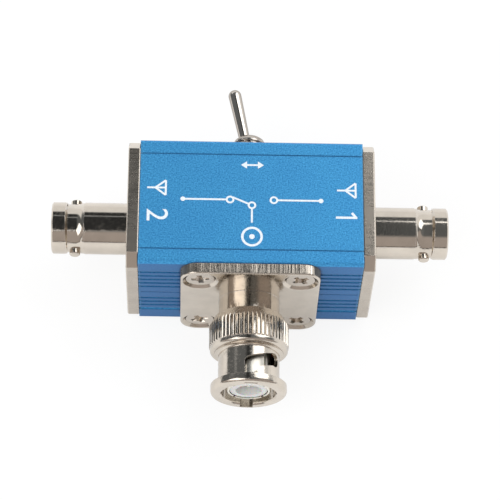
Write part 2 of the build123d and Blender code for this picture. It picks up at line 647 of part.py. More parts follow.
def plug_insulator():
    outer = min(PLUG_CONTACT_RADIUS - PLUG_CONTACT_WALL, PLUG_BORE_RADIUS) - FIT
    blank = turned(
        (0, SPIGOT_END), (outer, SPIGOT_END), (outer, PLUG_SEAT),
        (PLUG_ROOT_RADIUS, PLUG_SEAT), (PLUG_ROOT_RADIUS, PLUG_CONTACT_START - FIT),
        (outer, PLUG_CONTACT_START - FIT), (outer, PLUG_INSULATOR_END - FINE_EDGE),
        (outer - FINE_EDGE, PLUG_INSULATOR_END), (0, PLUG_INSULATOR_END),
    )
    blank -= rod(PLUG_SOCKET_RADIUS, PLUG_SOCKET_FLOOR, PLUG_INSULATOR_END)
    return blank - rod(PLUG_PIN_RADIUS + FIT, SPIGOT_END, PLUG_SOCKET_FLOOR)


def plug_centre_pin():
    pin = turned(
        (0, PLUG_CUP_END), (PLUG_CUP_RADIUS, PLUG_CUP_END), (PLUG_CUP_RADIUS, SPIGOT_END - FIT),
        (PLUG_PIN_RADIUS, SPIGOT_END - FIT), (PLUG_PIN_RADIUS, PLUG_PIN_END - PLUG_PIN_TIP),
        (PLUG_PIN_RADIUS / 3, PLUG_PIN_END), (0, PLUG_PIN_END),
    )
    return pin - solder_cup_bore(PLUG_CUP_END)


def plug_gasket():
    return tube(GASKET_RADIUS, PLUG_ROOT_RADIUS + FIT, JOURNAL_END, GASKET_END)


def retaining_clip():
    """Open ring that snaps into the journal's groove."""
    clip = tube(CLIP_RADIUS, JOURNAL_RADIUS - CLIP_GROOVE_DEPTH + FIT, CLIP_START, CLIP_END)
    opening = Pos(0, -CLIP_RADIUS, (CLIP_START + CLIP_END) / 2) * Box(
        CLIP_OPENING, 2 * CLIP_RADIUS, 2 * CLIP_THICKNESS
    )
    return clip - opening


def spring_washer():
    """Ring bent about one diameter, so that it is springy along the plug's axis."""
    outer = CLIP_RADIUS
    inner = JOURNAL_RADIUS + 2 * RUNNING
    bend = (outer**2 + SPRING_RISE**2) / (2 * SPRING_RISE)
    ring = tube(outer, inner, SPRING_START, SPRING_END)
    centre = SPRING_START - bend + SPRING_RISE
    roll = Rot(90, 0, 0) * (Cylinder(bend + SPRING_THICKNESS, 4 * outer) - Cylinder(bend, 4 * outer))
    return ring & (Pos(0, 0, centre) * roll)


def thrust_washer():
    return tube(CLIP_RADIUS, JOURNAL_RADIUS + RUNNING, THRUST_START, THRUST_END)


def nut_back_ring():
    return tube(NUT_CAVITY_RADIUS - FIT, JOURNAL_RADIUS + RUNNING, NUT_BACK, BACK_RING_END)


# ---------------------------------------------------------------- coupling nut
def knurl_blank():
    """Straight-knurled band: flat-topped teeth with sharp valleys."""
    low = KNURL_RADIUS - KNURL_DEPTH
    tooth = [(-KNURL_LAND / 2, KNURL_RADIUS), (KNURL_LAND / 2, KNURL_RADIUS), (0.5, low)]
    points = []
    for index in range(KNURL_TEETH):
        for share, radius in tooth:
            turn = radians(360 * (index + share) / KNURL_TEETH)
            points.append((radius * cos(turn), radius * sin(turn)))
    star = prism(make_face(Polyline(*points, close=True)), NUT_BACK, KNURL_END + KNURL_DEPTH)
    bevel = turned(
        (0, NUT_BACK), (NUT_FACE_RADIUS, NUT_BACK), (KNURL_RADIUS, KNURL_START),
        (KNURL_RADIUS, KNURL_END), (KNURL_RADIUS - KNURL_DEPTH, KNURL_END + KNURL_DEPTH),
        (0, KNURL_END + KNURL_DEPTH),
    )
    return star & bevel


def nut_outline():
    """The turned parts of the nut behind the knurl and between the knurl and the waist."""
    root = KNURL_RADIUS - KNURL_DEPTH
    back = turned((0, NUT_BACK), (NUT_FACE_RADIUS, NUT_BACK), (root, KNURL_START), (0, KNURL_START))
    lip = turned(
        (0, KNURL_START), (root, KNURL_START), (root, KNURL_END), (NUT_LIP_RADIUS, KNURL_END),
        (NUT_LIP_RADIUS, NUT_LIP_END), (0, NUT_LIP_END),
    )
    step = NUT_LIP_END + NUT_SHOULDER_LENGTH / 2
    outer_curve = ThreePointArc(
        (NUT_LIP_RADIUS, 0, NUT_LIP_END),
        quarter_point(NUT_STEP_RADIUS, NUT_LIP_RADIUS, NUT_LIP_END, step),
        (NUT_STEP_RADIUS, 0, step),
    )
    inner_curve = ThreePointArc(
        (NUT_STEP_RADIUS, 0, step + NUT_STEP_HEIGHT),
        quarter_point(NUT_STEP_RADIUS, WAIST_RADIUS, WAIST_START, step + NUT_STEP_HEIGHT),
        (WAIST_RADIUS, 0, WAIST_START),
    )
    edges = outer_curve + inner_curve + Polyline(
        (WAIST_RADIUS, 0, WAIST_START), (0, 0, WAIST_START), (0, 0, NUT_LIP_END),
        (NUT_LIP_RADIUS, 0, NUT_LIP_END),
    ) + Line((NUT_STEP_RADIUS, 0, step), (NUT_STEP_RADIUS, 0, step + NUT_STEP_HEIGHT))
    shoulder = revolve(make_face(edges), Axis.Z)
    return back + lip + shoulder


def quarter_point(centre_radius, far_radius, centre_height, far_height):
    """Point half way round a quarter ellipse, given its centre and its two reaches."""
    share = sqrt(0.5)
    return (
        centre_radius + share * (far_radius - centre_radius), 0,
        centre_height + share * (far_height - centre_height),
    )


def nut_front():
    """Waist and front ring, with the ring's rounded outer corner."""
    round_start = NUT_RIM - NUT_RING_ROUND
    rise = NUT_RING_RADIUS - NUT_RIM_RADIUS
    nose = ThreePointArc(
        (NUT_RING_RADIUS, 0, round_start),
        (NUT_RIM_RADIUS + rise * cos(radians(40)), 0, round_start + NUT_RING_ROUND * sin(radians(40))),
        (NUT_RIM_RADIUS, 0, NUT_RIM),
    )
    edges = nose + Polyline(
        (NUT_RIM_RADIUS, 0, NUT_RIM), (0, 0, NUT_RIM), (0, 0, KNURL_END), (WAIST_RADIUS, 0, KNURL_END),
        (WAIST_RADIUS, 0, RING_START - NUT_RING_BACK), (NUT_RING_RADIUS, 0, RING_START),
        (NUT_RING_RADIUS, 0, round_start),
    )
    return revolve(make_face(edges), Axis.Z)


def nut_hollow():
    return turned(
        (0, NUT_BACK - 1), (NUT_CAVITY_RADIUS, NUT_BACK - 1), (NUT_CAVITY_RADIUS, CAVITY_END),
        (NUT_BORE_RADIUS, CAVITY_END + NUT_CAVITY_RADIUS - NUT_BORE_RADIUS),
        (NUT_BORE_RADIUS, NUT_RIM - NUT_LEAD_IN), (NUT_BORE_RADIUS + NUT_LEAD_IN, NUT_RIM),
        (NUT_BORE_RADIUS + NUT_LEAD_IN, NUT_RIM + 1), (0, NUT_RIM + 1),
    )


def bayonet_slot():
    """Entry slot from the rim, the sloping run and the pocket at its end.

    The slot is cut from inside out to the roof radius, so it opens through the waist and passes
    under the front ring. Angles are measured from local x towards local y.
    """
    inner = NUT_BORE_RADIUS - BAYONET_OVERCUT
    depth = BAYONET_ROOF_RADIUS - inner
    middle = (BAYONET_ROOF_RADIUS + inner) / 2
    entry = Pos(middle, 0, (BAYONET_START + NUT_RIM + 1) / 2) * Box(
        depth, BAYONET_WIDTH, NUT_RIM + 1 - BAYONET_START
    )
    peg = Rot(0, 90, 0) * rod(BAYONET_WIDTH / 2, inner, BAYONET_ROOF_RADIUS)
    start = Pos(0, 0, BAYONET_START) * peg
    pocket = Rot(0, 0, -BAYONET_TURN) * Pos(0, 0, BAYONET_LOCK + BAYONET_POCKET) * peg
    end = Rot(0, 0, -BAYONET_TURN) * Pos(0, 0, BAYONET_LOCK) * peg
    chord = 2 * BAYONET_ROOF_RADIUS * tan(radians(BAYONET_TURN / BAYONET_STEPS / 2))
    slope = degrees(BAYONET_RISE / (radians(BAYONET_TURN) * WAIST_RADIUS))
    block = Rot(slope, 0, 0) * Box(depth, chord + STEP_OVERLAP, BAYONET_WIDTH)
    run = start + end
    for index in range(BAYONET_STEPS):
        part_way = (index + 0.5) / BAYONET_STEPS
        height = BAYONET_START - BAYONET_RISE * part_way
        run += Rot(0, 0, -BAYONET_TURN * part_way) * Pos(middle, 0, height) * block
    return entry + run + pocket


def coupling_nut():
    nut = nut_outline() + knurl_blank() + nut_front() - nut_hollow()
    slot = bayonet_slot()
    for turn in (90 - NUT_TURN, 270 - NUT_TURN):
        nut -= Rot(0, 0, turn) * slot
    return nut


# ---------------------------------------------------------------- toggle switch
def sway(distance, radius):
    """Room round the swung lever, at a distance from its pivot."""
    return distance * tan(radians(LEVER_THROW)) + radius / cos(radians(LEVER_THROW)) + LEVER_CLEARANCE


def toggle_bushing():
    """Threaded bushing with a ball seat, open above and below for the lever's swing."""
    outside = turned(
        (0, BUSHING_START), (BUSHING_FLANGE_RADIUS, BUSHING_START),
        (BUSHING_FLANGE_RADIUS, BRACKET_BACK), (BUSHING_RADIUS, BRACKET_BACK),
        (BUSHING_RADIUS, BUSHING_END - BUSHING_END_ROUND),
        (BUSHING_RADIUS - SMALL_EDGE, BUSHING_END - BUSHING_END_ROUND / 2),
        (BUSHING_END_RADIUS, BUSHING_END), (0, BUSHING_END),
    )
    seat = LEVER_BALL_RADIUS + BALL_CLEARANCE
    low = LEVER_TAIL_RADIUS
    shoulder = seat * 0.6
    mouth = turned(
        (0, PIVOT), (sway(0, LEVER_NECK_RADIUS), PIVOT + shoulder * 0.5),
        (sway(shoulder, LEVER_NECK_RADIUS), PIVOT + shoulder),
        (sway(LEVER_PIVOT_DEPTH, LEVER_NECK_RADIUS), BUSHING_END), (0, BUSHING_END),
    )
    below = turned(
        (0, PIVOT), (seat, PIVOT), (seat, PIVOT - shoulder),
        (sway(PIVOT - BUSHING_START, low), BUSHING_START), (0, BUSHING_START),
    )
    return outside - mouth - below - Pos(0, 0, PIVOT) * Sphere(seat)


def toggle_bracket():
    half = CASE_LENGTH / 2
    top = Box(CASE_LENGTH + 2 * BRACKET_LEG, CASE_WIDTH, BRACKET_THICKNESS)
    bracket = Pos(0, 0, CASE_FRONT - BRACKET_THICKNESS / 2) * top
    foot_back = CASE_BACK - BRACKET_LEG
    for side in (-1, 1):
        leg = Box(BRACKET_LEG, BRACKET_LEG_WIDTH, CASE_FRONT - foot_back)
        bracket += Pos(side * (half + BRACKET_LEG / 2), 0, (CASE_FRONT + foot_back) / 2) * leg
        foot = Box(BRACKET_FOOT + BRACKET_LEG, BRACKET_LEG_WIDTH, BRACKET_LEG)
        foot_x = half + (BRACKET_LEG - BRACKET_FOOT) / 2
        bracket += Pos(side * foot_x, 0, CASE_BACK - BRACKET_LEG / 2) * foot
    return bracket - rod(BUSHING_RADIUS + FIT, BRACKET_BACK, CASE_FRONT)


def toggle_case():
    case = Pos(0, 0, (CASE_BACK + BRACKET_BACK) / 2) * Box(CASE_LENGTH, CASE_WIDTH, CASE_DEPTH)
    case = chamfer(case.edges().filter_by(Axis.Z), CASE_EDGE)
    floor = CASE_BACK + CASE_FLOOR
    cavity = Box(CASE_LENGTH - 2 * CASE_WALL, CASE_WIDTH - 2 * CASE_WALL, CAVITY_ROOF - floor)
    case -= Pos(0, 0, (floor + CAVITY_ROOF) / 2) * cavity
    case -= rod(sway(PIVOT - CAVITY_ROOF, LEVER_TAIL_RADIUS), CAVITY_ROOF, BUSHING_START)
    case -= rod(BUSHING_FLANGE_RADIUS + FIT, BUSHING_START, BRACKET_BACK)
    slot = Box(TERMINAL_THICKNESS + 2 * FIT, TERMINAL_WIDTH + 2 * FIT, CASE_FLOOR)
    for x in (-TERMINAL_PITCH, 0, TERMINAL_PITCH):
        case -= Pos(x, 0, CASE_BACK + CASE_FLOOR / 2) * slot
    return case


def lever_tilt():
    """Turns a lever drawn straight along local z into its rest place."""
    return Pos(0, 0, PIVOT) * Rot(0, LEVER_THROW, 0)


def toggle_lever():
    straight = LEVER_LENGTH - LEVER_TIP_RADIUS
    taper_start = LEVER_PIVOT_DEPTH
    lever = turned(
        (0, -LEVER_TAIL_LENGTH), (LEVER_TAIL_RADIUS, -LEVER_TAIL_LENGTH), (LEVER_TAIL_RADIUS, 0),
        (LEVER_NECK_RADIUS, 0), (LEVER_NECK_RADIUS, taper_start), (LEVER_TIP_RADIUS, straight),
        (0, straight),
    )
    lever += Sphere(LEVER_BALL_RADIUS)
    lever += Pos(0, 0, straight) * Sphere(LEVER_TIP_RADIUS)
    lever -= rod(LEVER_BORE_RADIUS, -LEVER_TAIL_LENGTH, LEVER_BORE_DEPTH - LEVER_TAIL_LENGTH)
    return lever_tilt() * lever


def toggle_plunger():
    """Round-nosed pin in the lever's tail; its nose rides on the rocker."""
    centre = PLUNGER_RADIUS - PLUNGER_REACH
    plunger = rod(PLUNGER_RADIUS, centre, PLUNGER_LENGTH - PLUNGER_REACH)
    return lever_tilt() * (plunger + Pos(0, 0, centre) * Sphere(PLUNGER_RADIUS))


def plunger_spring():
    """Coil between the plunger and the end of the lever's bore."""
    low = PLUNGER_LENGTH - PLUNGER_REACH + PLUNGER_SPRING_WIRE / 2
    high = LEVER_BORE_DEPTH - LEVER_TAIL_LENGTH - PLUNGER_SPRING_WIRE / 2
    radius = PLUNGER_RADIUS - PLUNGER_SPRING_WIRE / 2
    height = high - low - FIT
    coil = Helix(height / PLUNGER_SPRING_TURNS, height, radius)
    section = Plane(origin=coil @ 0, z_dir=coil % 0) * Circle(PLUNGER_SPRING_WIRE / 2)
    return lever_tilt() * Pos(0, 0, low + FIT / 2) * sweep(section, coil, is_frenet=True)


def toggle_rocker():
    """Bent strip with a shallow valley; it tilts on the common terminal's rounded end."""
    rise = ROCKER_VALLEY * tan(radians(ROCKER_VALLEY_SLOPE))
    lower = [
        (-ROCKER_HALF_LENGTH, ROCKER_SEAT + rise), (-ROCKER_VALLEY, ROCKER_SEAT + rise),
        (0, ROCKER_SEAT), (ROCKER_VALLEY, ROCKER_SEAT + rise),
        (ROCKER_HALF_LENGTH, ROCKER_SEAT + rise),
    ]
    upper = [(x, z + ROCKER_THICKNESS) for x, z in reversed(lower)]
    outline = [(x, 0, z) for x, z in lower + upper]
    strip = extrude(make_face(Polyline(*outline, close=True)), ROCKER_WIDTH / 2, both=True)
    return Pos(0, 0, FULCRUM) * Rot(0, -ROCKER_THROW, 0) * strip


def terminal_pad():
    """Height of the outer terminals' ends, just clear of the rocker's lowered tip."""
    rise = ROCKER_VALLEY * tan(radians(ROCKER_VALLEY_SLOPE))
    tilt = radians(ROCKER_THROW)
    tip = (ROCKER_SEAT + rise) * cos(tilt) - ROCKER_HALF_LENGTH * sin(tilt)
    return FULCRUM + tip - ROCKER_GAP


def terminal(x, end):
    blade = Pos(x, 0, (TERMINAL_END + end) / 2) * Box(
        TERMINAL_THICKNESS, TERMINAL_WIDTH, end - TERMINAL_END
    )
    hole = Pos(x, 0, TERMINAL_HOLE_AT) * Rot(0, 90, 0) * Cylinder(TERMINAL_HOLE, 2)
    return blade - hole


def common_terminal():
    knife = Pos(0, 0, FULCRUM) * Rot(90, 0, 0) * Cylinder(FULCRUM_RADIUS, TERMINAL_WIDTH)
    return terminal(0, FULCRUM) + knife


def toggle_hardware():
    """Lock washer and nut outside the rear wall, toothed washer inside it."""
    bore = BUSHING_RADIUS + FIT
    washer = tube(TOGGLE_WASHER_RADIUS, bore, FACE, FACE + TOGGLE_WASHER_THICKNESS)
    nut_start = FACE + TOGGLE_WASHER_THICKNESS
    nut = hex_nut(TOGGLE_NUT_FLATS, bore, nut_start, nut_start + TOGGLE_NUT_THICKNESS)
    inner = tooth_washer(INNER_WASHER_RADIUS, bore, CASE_FRONT, INNER_WASHER_THICKNESS)
    return nut, washer, inner


# ---------------------------------------------------------------- wires
def wire(points):
    """Bare wire of straight runs joined by arcs as large as the runs allow."""
    runs = [Vector(*b) - Vector(*a) for a, b in zip(points, points[1:])]
    radii = []
    for before, after in zip(runs, runs[1:]):
        half_turn = radians(before.get_angle(after)) / 2
        radii.append(0.45 * min(before.length, after.length) / tan(half_turn))
    print("wire radii", [round(radius, 2) for radius in radii])
    path = FilletPolyline(*points, radius=radii)
    section = Plane(origin=path @ 0, z_dir=path % 0) * Circle(WIRE_RADIUS)
    return sweep(section, path)


def jack_wire(side):
    """From a jack's solder cup through the hole of the terminal on the same side."""
    cup = JACK_CUP_END + CUP_DEPTH / 2
    leave = JACK_CUP_END - WIRE_LEAD
    end = TERMINAL_PITCH - TERMINAL_THICKNESS + side * TOGGLE_OFFSET
    points = [
        (cup, 0, MIDDLE), (leave, 0, MIDDLE),
        (leave - WIRE_SLANT, TERMINAL_HOLE_AT, MIDDLE), (end, TERMINAL_HOLE_AT, MIDDLE),
    ]
    return wire([(side * x, y, z) for x, y, z in points])


def common_wire():
    """From the plug's solder cup along the side of the common terminal."""
    beside = TOGGLE_OFFSET + TERMINAL_THICKNESS / 2 + WIRE_RADIUS + FIT
    way = TERMINAL_END + PLUG_CUP_END
    return wire([
        (0, -PLUG_CUP_END - CUP_DEPTH / 2, MIDDLE),
        (0, -PLUG_CUP_END + COMMON_WIRE_LEAD * way, MIDDLE),
        (beside, TERMINAL_END - COMMON_WIRE_LEAD * way, MIDDLE),
        (beside, TERMINAL_END + COMMON_WIRE_LAP, MIDDLE),
    ])


# ---------------------------------------------------------------- assembly
def placed(port, pieces):
    """Move pieces drawn in a connector's own frame to its place on the box."""
    return {name: port.location * piece for name, piece in pieces.items()}


def group(port, solids):
    """Alike pieces in one file, each its own solid, moved to their port's place."""
    return Compound([(port.location * piece).solid() for piece in solids])


def enclosure_pieces():
    upper, lower = shells()
    return {"upper_shell": upper, "lower_shell": lower}


def jack_side(port, number):
    washer, tag, nut = jack_hardware()
    pieces = placed(port, {
        f"end_plate_{number}": end_plate(),
        f"jack_{number}_body": jack_body(),
        f"jack_{number}_insulator": jack_insulator(),
        f"jack_{number}_contact": jack_contact(),
        f"jack_{number}_lock_washer": washer,
        f"jack_{number}_solder_tag": tag,
        f"jack_{number}_nut": nut,
    })
    pieces[f"end_plate_screws_{number}"] = group(port, end_plate_screws())
    return pieces


def plug_pieces():
    pieces = placed(FRONT, {
        "plug_body": plug_body(),
        "plug_outer_contact": plug_outer_contact(),
        "plug_insulator": plug_insulator(),
        "plug_centre_pin": plug_centre_pin(),
        "plug_gasket": plug_gasket(),
        "plug_retaining_clip": retaining_clip(),
        "plug_spring_washer": spring_washer(),
        "plug_thrust_washer": thrust_washer(),
        "nut_back_ring": nut_back_ring(),
        "coupling_nut": coupling_nut(),
    })
    pieces["plug_flange_screws"] = group(FRONT, flange_screws())
    return pieces


def toggle_pieces():
    nut, washer, inner_washer = toggle_hardware()
    return placed(REAR, {
        "toggle_bushing": toggle_bushing(),
        "toggle_bracket": toggle_bracket(),
        "toggle_case": toggle_case(),
        "toggle_lever": toggle_lever(),
        "toggle_plunger": toggle_plunger(),
        "toggle_plunger_spring": plunger_spring(),
        "toggle_rocker": toggle_rocker(),
        "toggle_terminal_common": common_terminal(),
        "toggle_terminal_1": terminal(-TERMINAL_PITCH, terminal_pad()),
        "toggle_terminal_2": terminal(TERMINAL_PITCH, terminal_pad()),
        "toggle_nut": nut,
        "toggle_washer": washer,
        "toggle_inner_washer": inner_washer,
    })


def wire_pieces():
    return {
        "wire_common": common_wire(),
        "wire_1": jack_wire(1),
        "wire_2": jack_wire(-1),
    }


def main():
    pieces = {
        **enclosure_pieces(),
        **jack_side(RIGHT, 1),
        **jack_side(LEFT, 2),
        **plug_pieces(),
        **toggle_pieces(),
        **wire_pieces(),
    }
    os.makedirs("parts", exist_ok=True)
    for name, piece in pieces.items():
        export_step(piece, f"parts/{name}.step")


main()
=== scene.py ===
from functools import reduce
from math import cos, hypot, pi, radians, sin

import bmesh
import bpy
from mathutils import Matrix, Vector


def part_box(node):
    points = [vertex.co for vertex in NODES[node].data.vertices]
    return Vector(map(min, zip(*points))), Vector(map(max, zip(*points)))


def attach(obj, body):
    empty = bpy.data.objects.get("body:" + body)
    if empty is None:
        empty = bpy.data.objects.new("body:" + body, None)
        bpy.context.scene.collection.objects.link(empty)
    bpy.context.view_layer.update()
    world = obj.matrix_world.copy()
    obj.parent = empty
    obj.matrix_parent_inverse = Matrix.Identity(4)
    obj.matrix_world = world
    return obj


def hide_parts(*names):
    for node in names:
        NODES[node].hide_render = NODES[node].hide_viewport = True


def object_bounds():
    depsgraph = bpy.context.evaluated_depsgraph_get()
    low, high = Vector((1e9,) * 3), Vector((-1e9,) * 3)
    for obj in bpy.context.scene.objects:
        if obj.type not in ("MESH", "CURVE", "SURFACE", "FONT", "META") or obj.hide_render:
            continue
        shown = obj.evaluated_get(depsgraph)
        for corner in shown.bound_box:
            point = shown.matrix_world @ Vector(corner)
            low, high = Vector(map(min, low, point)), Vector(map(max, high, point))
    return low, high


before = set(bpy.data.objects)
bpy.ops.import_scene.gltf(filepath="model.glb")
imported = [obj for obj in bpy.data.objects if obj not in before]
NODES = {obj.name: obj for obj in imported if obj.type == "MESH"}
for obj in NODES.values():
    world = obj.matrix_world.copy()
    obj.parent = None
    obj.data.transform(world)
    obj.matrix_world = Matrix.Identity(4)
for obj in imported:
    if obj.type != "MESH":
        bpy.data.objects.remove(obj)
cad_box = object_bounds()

# Everything is in metres, in the frame of the CAD model: X towards jack 1, Y towards the toggle,
# Z up. MM turns a length in millimetres into metres. Patterns in the finishes and the signs of
# the legend are worked out in millimetres.
MM = 0.001

BOX_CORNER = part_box("upper_shell")[1]
BOX_HALF_LENGTH = BOX_CORNER.x
BOX_HALF_DEPTH = BOX_CORNER.y
BOX_TOP = BOX_CORNER.z
AXIS_HEIGHT = BOX_TOP / 2   # the axes of the jacks, the plug and the toggle


# ---------------------------------------------------------------- camera
# Where the photograph's camera stands as seen from the middle of the box, how far it is turned
# about its line of sight, and how far it is shifted aside and up from looking at the middle.
CAMERA_AZIMUTH = radians(-2.894)
CAMERA_ELEVATION = radians(65.117)
CAMERA_ROLL = radians(3.564)
CAMERA_DISTANCE = 466.42 * MM
CAMERA_SIDE = 0.066 * MM
CAMERA_RISE = -3.531 * MM
CAMERA_FOCAL_PIXELS = 2495.9
PICTURE_PIXELS = 500
SENSOR_WIDTH = 36.0         # in millimetres, as Blender takes it
NEAREST, FARTHEST = 0.01, 20.0


def add_camera():
    """The photograph's camera."""
    back = Vector((
        sin(CAMERA_AZIMUTH) * cos(CAMERA_ELEVATION),
        -cos(CAMERA_AZIMUTH) * cos(CAMERA_ELEVATION),
        sin(CAMERA_ELEVATION),
    ))
    level = Vector((cos(CAMERA_AZIMUTH), sin(CAMERA_AZIMUTH), 0))
    upright = level.cross(-back)
    right = cos(CAMERA_ROLL) * level + sin(CAMERA_ROLL) * upright
    up = cos(CAMERA_ROLL) * upright - sin(CAMERA_ROLL) * level
    place = Vector((0, 0, AXIS_HEIGHT)) + CAMERA_DISTANCE * back + CAMERA_SIDE * right + CAMERA_RISE * up
    data = bpy.data.cameras.new("camera")
    data.sensor_width = SENSOR_WIDTH
    data.lens = CAMERA_FOCAL_PIXELS / PICTURE_PIXELS * SENSOR_WIDTH
    data.clip_start = NEAREST
    data.clip_end = FARTHEST
    camera = bpy.data.objects.new("camera", data)
    turn = Matrix((right, up, back)).transposed().to_4x4()
    camera.matrix_world = Matrix.Translation(place) @ turn
    bpy.context.scene.collection.objects.link(camera)
    bpy.context.scene.camera = camera


# ---------------------------------------------------------------- node trees
class Tree:
    """Short calls for adding and joining the nodes of a material or of the world."""

    def __init__(self, owner):
        owner.use_nodes = True
        self.tree = owner.node_tree
        self.tree.nodes.clear()

    def add(self, kind, inputs=None, **settings):
        node = self.tree.nodes.new(kind)
        for name, value in settings.items():
            setattr(node, name, value)
        for name, value in (inputs or {}).items():
            self.set(node.inputs[name], value)
        return node

    def set(self, socket, value):
        if isinstance(value, bpy.types.NodeSocket):
            self.tree.links.new(value, socket)
        else:
            socket.default_value = value

    def math(self, operation, *values):
        node = self.add("ShaderNodeMath", operation=operation)
        for socket, value in zip(node.inputs, values):
            self.set(socket, value)
        return node.outputs[0]

    def product(self, *values):
        return reduce(lambda first, second: self.math("MULTIPLY", first, second), values)

    def total(self, *values):
        return reduce(lambda first, second: self.math("ADD", first, second), values)

    def largest(self, *values):
        return reduce(lambda first, second: self.math("MAXIMUM", first, second), values)

    def vector(self, operation, *values):
        node = self.add("ShaderNodeVectorMath", operation=operation)
        for socket, value in zip(node.inputs, values):
            self.set(socket, value)
        return node.outputs["Value" if operation in ("DOT_PRODUCT", "LENGTH") else "Vector"]

    def coordinates(self, kind):
        return self.add("ShaderNodeTexCoord").outputs[kind]

    def parts(self, vector):
        """The coordinates of a vector, by the names X, Y and Z."""
        return self.add("ShaderNodeSeparateXYZ", {"Vector": vector}).outputs

    def sizes(self, vector):
        """The same coordinates without their signs."""
        return self.parts(self.vector("ABSOLUTE", vector))

    def step(self, value, low, high, to_low=0.0, to_high=1.0):
        """Smooth change from to_low to to_high as value goes from low to high."""
        node = self.add(
            "ShaderNodeMapRange",
            {"Value": value, "From Min": low, "From Max": high, "To Min": to_low, "To Max": to_high},
            interpolation_type="SMOOTHSTEP",
        )
        return node.outputs["Result"]

    def mix(self, factor, first, second):
        node = self.add("ShaderNodeMix", data_type="RGBA")
        for name, value in (("Factor", factor), ("A", first), ("B", second)):
            sockets = [socket for socket in node.inputs if socket.name == name and socket.enabled]
            self.set(sockets[0], value)
        return [socket for socket in node.outputs if socket.enabled][0]

    def noise(self, vector, scale, detail=2.0, roughness=0.5):
        node = self.add(
            "ShaderNodeTexNoise",
            {"Vector": vector, "Scale": scale, "Detail": detail, "Roughness": roughness},
        )
        return node.outputs["Fac"]

    def ray_kinds(self):
        """1 for the rays of mirroring and clear surfaces, and 1 for the camera's own rays."""
        rays = self.add("ShaderNodeLightPath").outputs
        return self.largest(rays["Is Glossy Ray"], rays["Is Transmission Ray"]), rays["Is Camera Ray"]


def srgb(red, green, blue):
    """Linear colour of an 8-bit screen colour."""
    def linear(level):
        share = level / 255
        return share / 12.92 if share <= 0.04045 else ((share + 0.055) / 1.055) ** 2.4
    return (linear(red), linear(green), linear(blue), 1.0)


# ---------------------------------------------------------------- studio
WHITE = (1.0, 1.0, 1.0, 1.0)

# The studio that polished metal mirrors: white behind, at the right and below, a dim room in
# front and a dark ceiling with one narrow light strip. Each row names a coordinate of the
# direction from the object, and says where along it a part of the studio fades from none to full.
BACKDROP = (("Z", 0.64, 0.56), ("Y", 0.2, 0.45), ("X", -0.85, -0.6))
RIGHT_WALL = (("Z", 0.34, 0.2), ("X", 0.3, 0.7), ("Y", -0.45, -0.1))
BELOW = (("Z", 0.03, -0.03),)
ROOM = (("Y", 0.1, -0.15), ("Z", 0.9, 0.7))
STRIP = (("Z", 0.815, 0.835), ("Z", 0.875, 0.855), ("Y", 0.44, 0.47))
HORIZON = (("Z", 0.0, 0.02), ("Z", 0.09, 0.06), ("Y", 0.1, -0.1))

ROOM_LEVEL = 0.48
ROOM_TINT = (1.0, 0.90, 0.85, 1.0)
CEILING_TINT = (0.94, 1.0, 1.05, 1.0)
CEILING_LEVEL = 0.035       # in the middle
CEILING_SIDES = 0.15        # away from the middle, on both sides
CEILING_SIDES_FADE = (0.06, 0.3)
CEILING_RIGHT = 0.20        # just right of the middle
CEILING_RIGHT_FADE = (0.02, 0.13)
STRIP_LEVEL = 0.40
HORIZON_LEVEL = 0.15        # dims the narrow gap between the floor and the room

FILL_ABOVE = 0.90           # soft light on matt surfaces from above
FILL_AROUND = 0.42          # and from the height of the object
FILL_FADE = (0.1, 0.8)

LAMP_DISTANCE = 0.8
SOFTBOXES = {               # direction from the object, width, height and brightness
    "softbox_right_rear": ((0.52, 0.42, 0.745), 0.56, 0.50, 2.2),
    "softbox_left_front": ((-0.56, -0.42, 0.70), 0.74, 0.50, 1.9),
}

FLOOR_SIZE = 4.0
FLOOR_GAP = 0.02 * MM       # keeps the floor just clear of the flat undersides on it
FLOOR_BOUNCE = 0.70         # how much of the light it throws back onto matt surfaces
FLOOR_GLOW = 0.86           # how much of its white doesn't depend on shadow, as seen
MIRRORED_GLOW = 0.40        # the same in polished metal


def region(tree, direction, fades):
    """1 inside a soft-edged part of the studio, 0 outside it."""
    return tree.product(*(tree.step(direction[name], none, full) for name, none, full in fades))


def mirrored_studio(tree, direction):
    """Brightness and tint of the studio in polished metal."""
    bright = tree.largest(*(region(tree, direction, part) for part in (BACKDROP, RIGHT_WALL, BELOW)))
    room = region(tree, direction, ROOM)
    aside = tree.math("ABSOLUTE", direction["X"])
    ceiling = tree.largest(
        tree.step(aside, *CEILING_SIDES_FADE, CEILING_LEVEL, CEILING_SIDES),
        tree.step(direction["X"], *CEILING_RIGHT_FADE, 0.0, CEILING_RIGHT),
        tree.product(region(tree, direction, STRIP), STRIP_LEVEL),
    )
    level = tree.largest(ceiling, tree.product(room, ROOM_LEVEL), bright)
    dimming = tree.step(region(tree, direction, HORIZON), 0.0, 1.0, 1.0, HORIZON_LEVEL)
    tint = tree.mix(bright, tree.mix(room, CEILING_TINT, ROOM_TINT), WHITE)
    return tree.product(level, dimming), tint


def add_world():
    """Even fill for matt surfaces, the mirrored studio for polished ones, white for the camera."""
    world = bpy.data.worlds.new("studio")
    bpy.context.scene.world = world
    tree = Tree(world)
    direction = tree.parts(tree.coordinates("Generated"))
    mirrored, seen = tree.ray_kinds()
    level, tint = mirrored_studio(tree, direction)
    around = tree.step(direction["Z"], *FILL_FADE, FILL_AROUND, FILL_ABOVE)
    fill = tree.largest(around, region(tree, direction, BELOW))
    matt = tree.math("SUBTRACT", 1.0, mirrored)
    strength = tree.total(tree.product(mirrored, level), tree.product(matt, fill))
    background = tree.add("ShaderNodeBackground", {
        "Color": tree.mix(mirrored, WHITE, tint),
        "Strength": tree.largest(strength, seen),
    })
    tree.add("ShaderNodeOutputWorld", {"Surface": background.outputs[0]})
    world.cycles.sampling_method = "NONE"


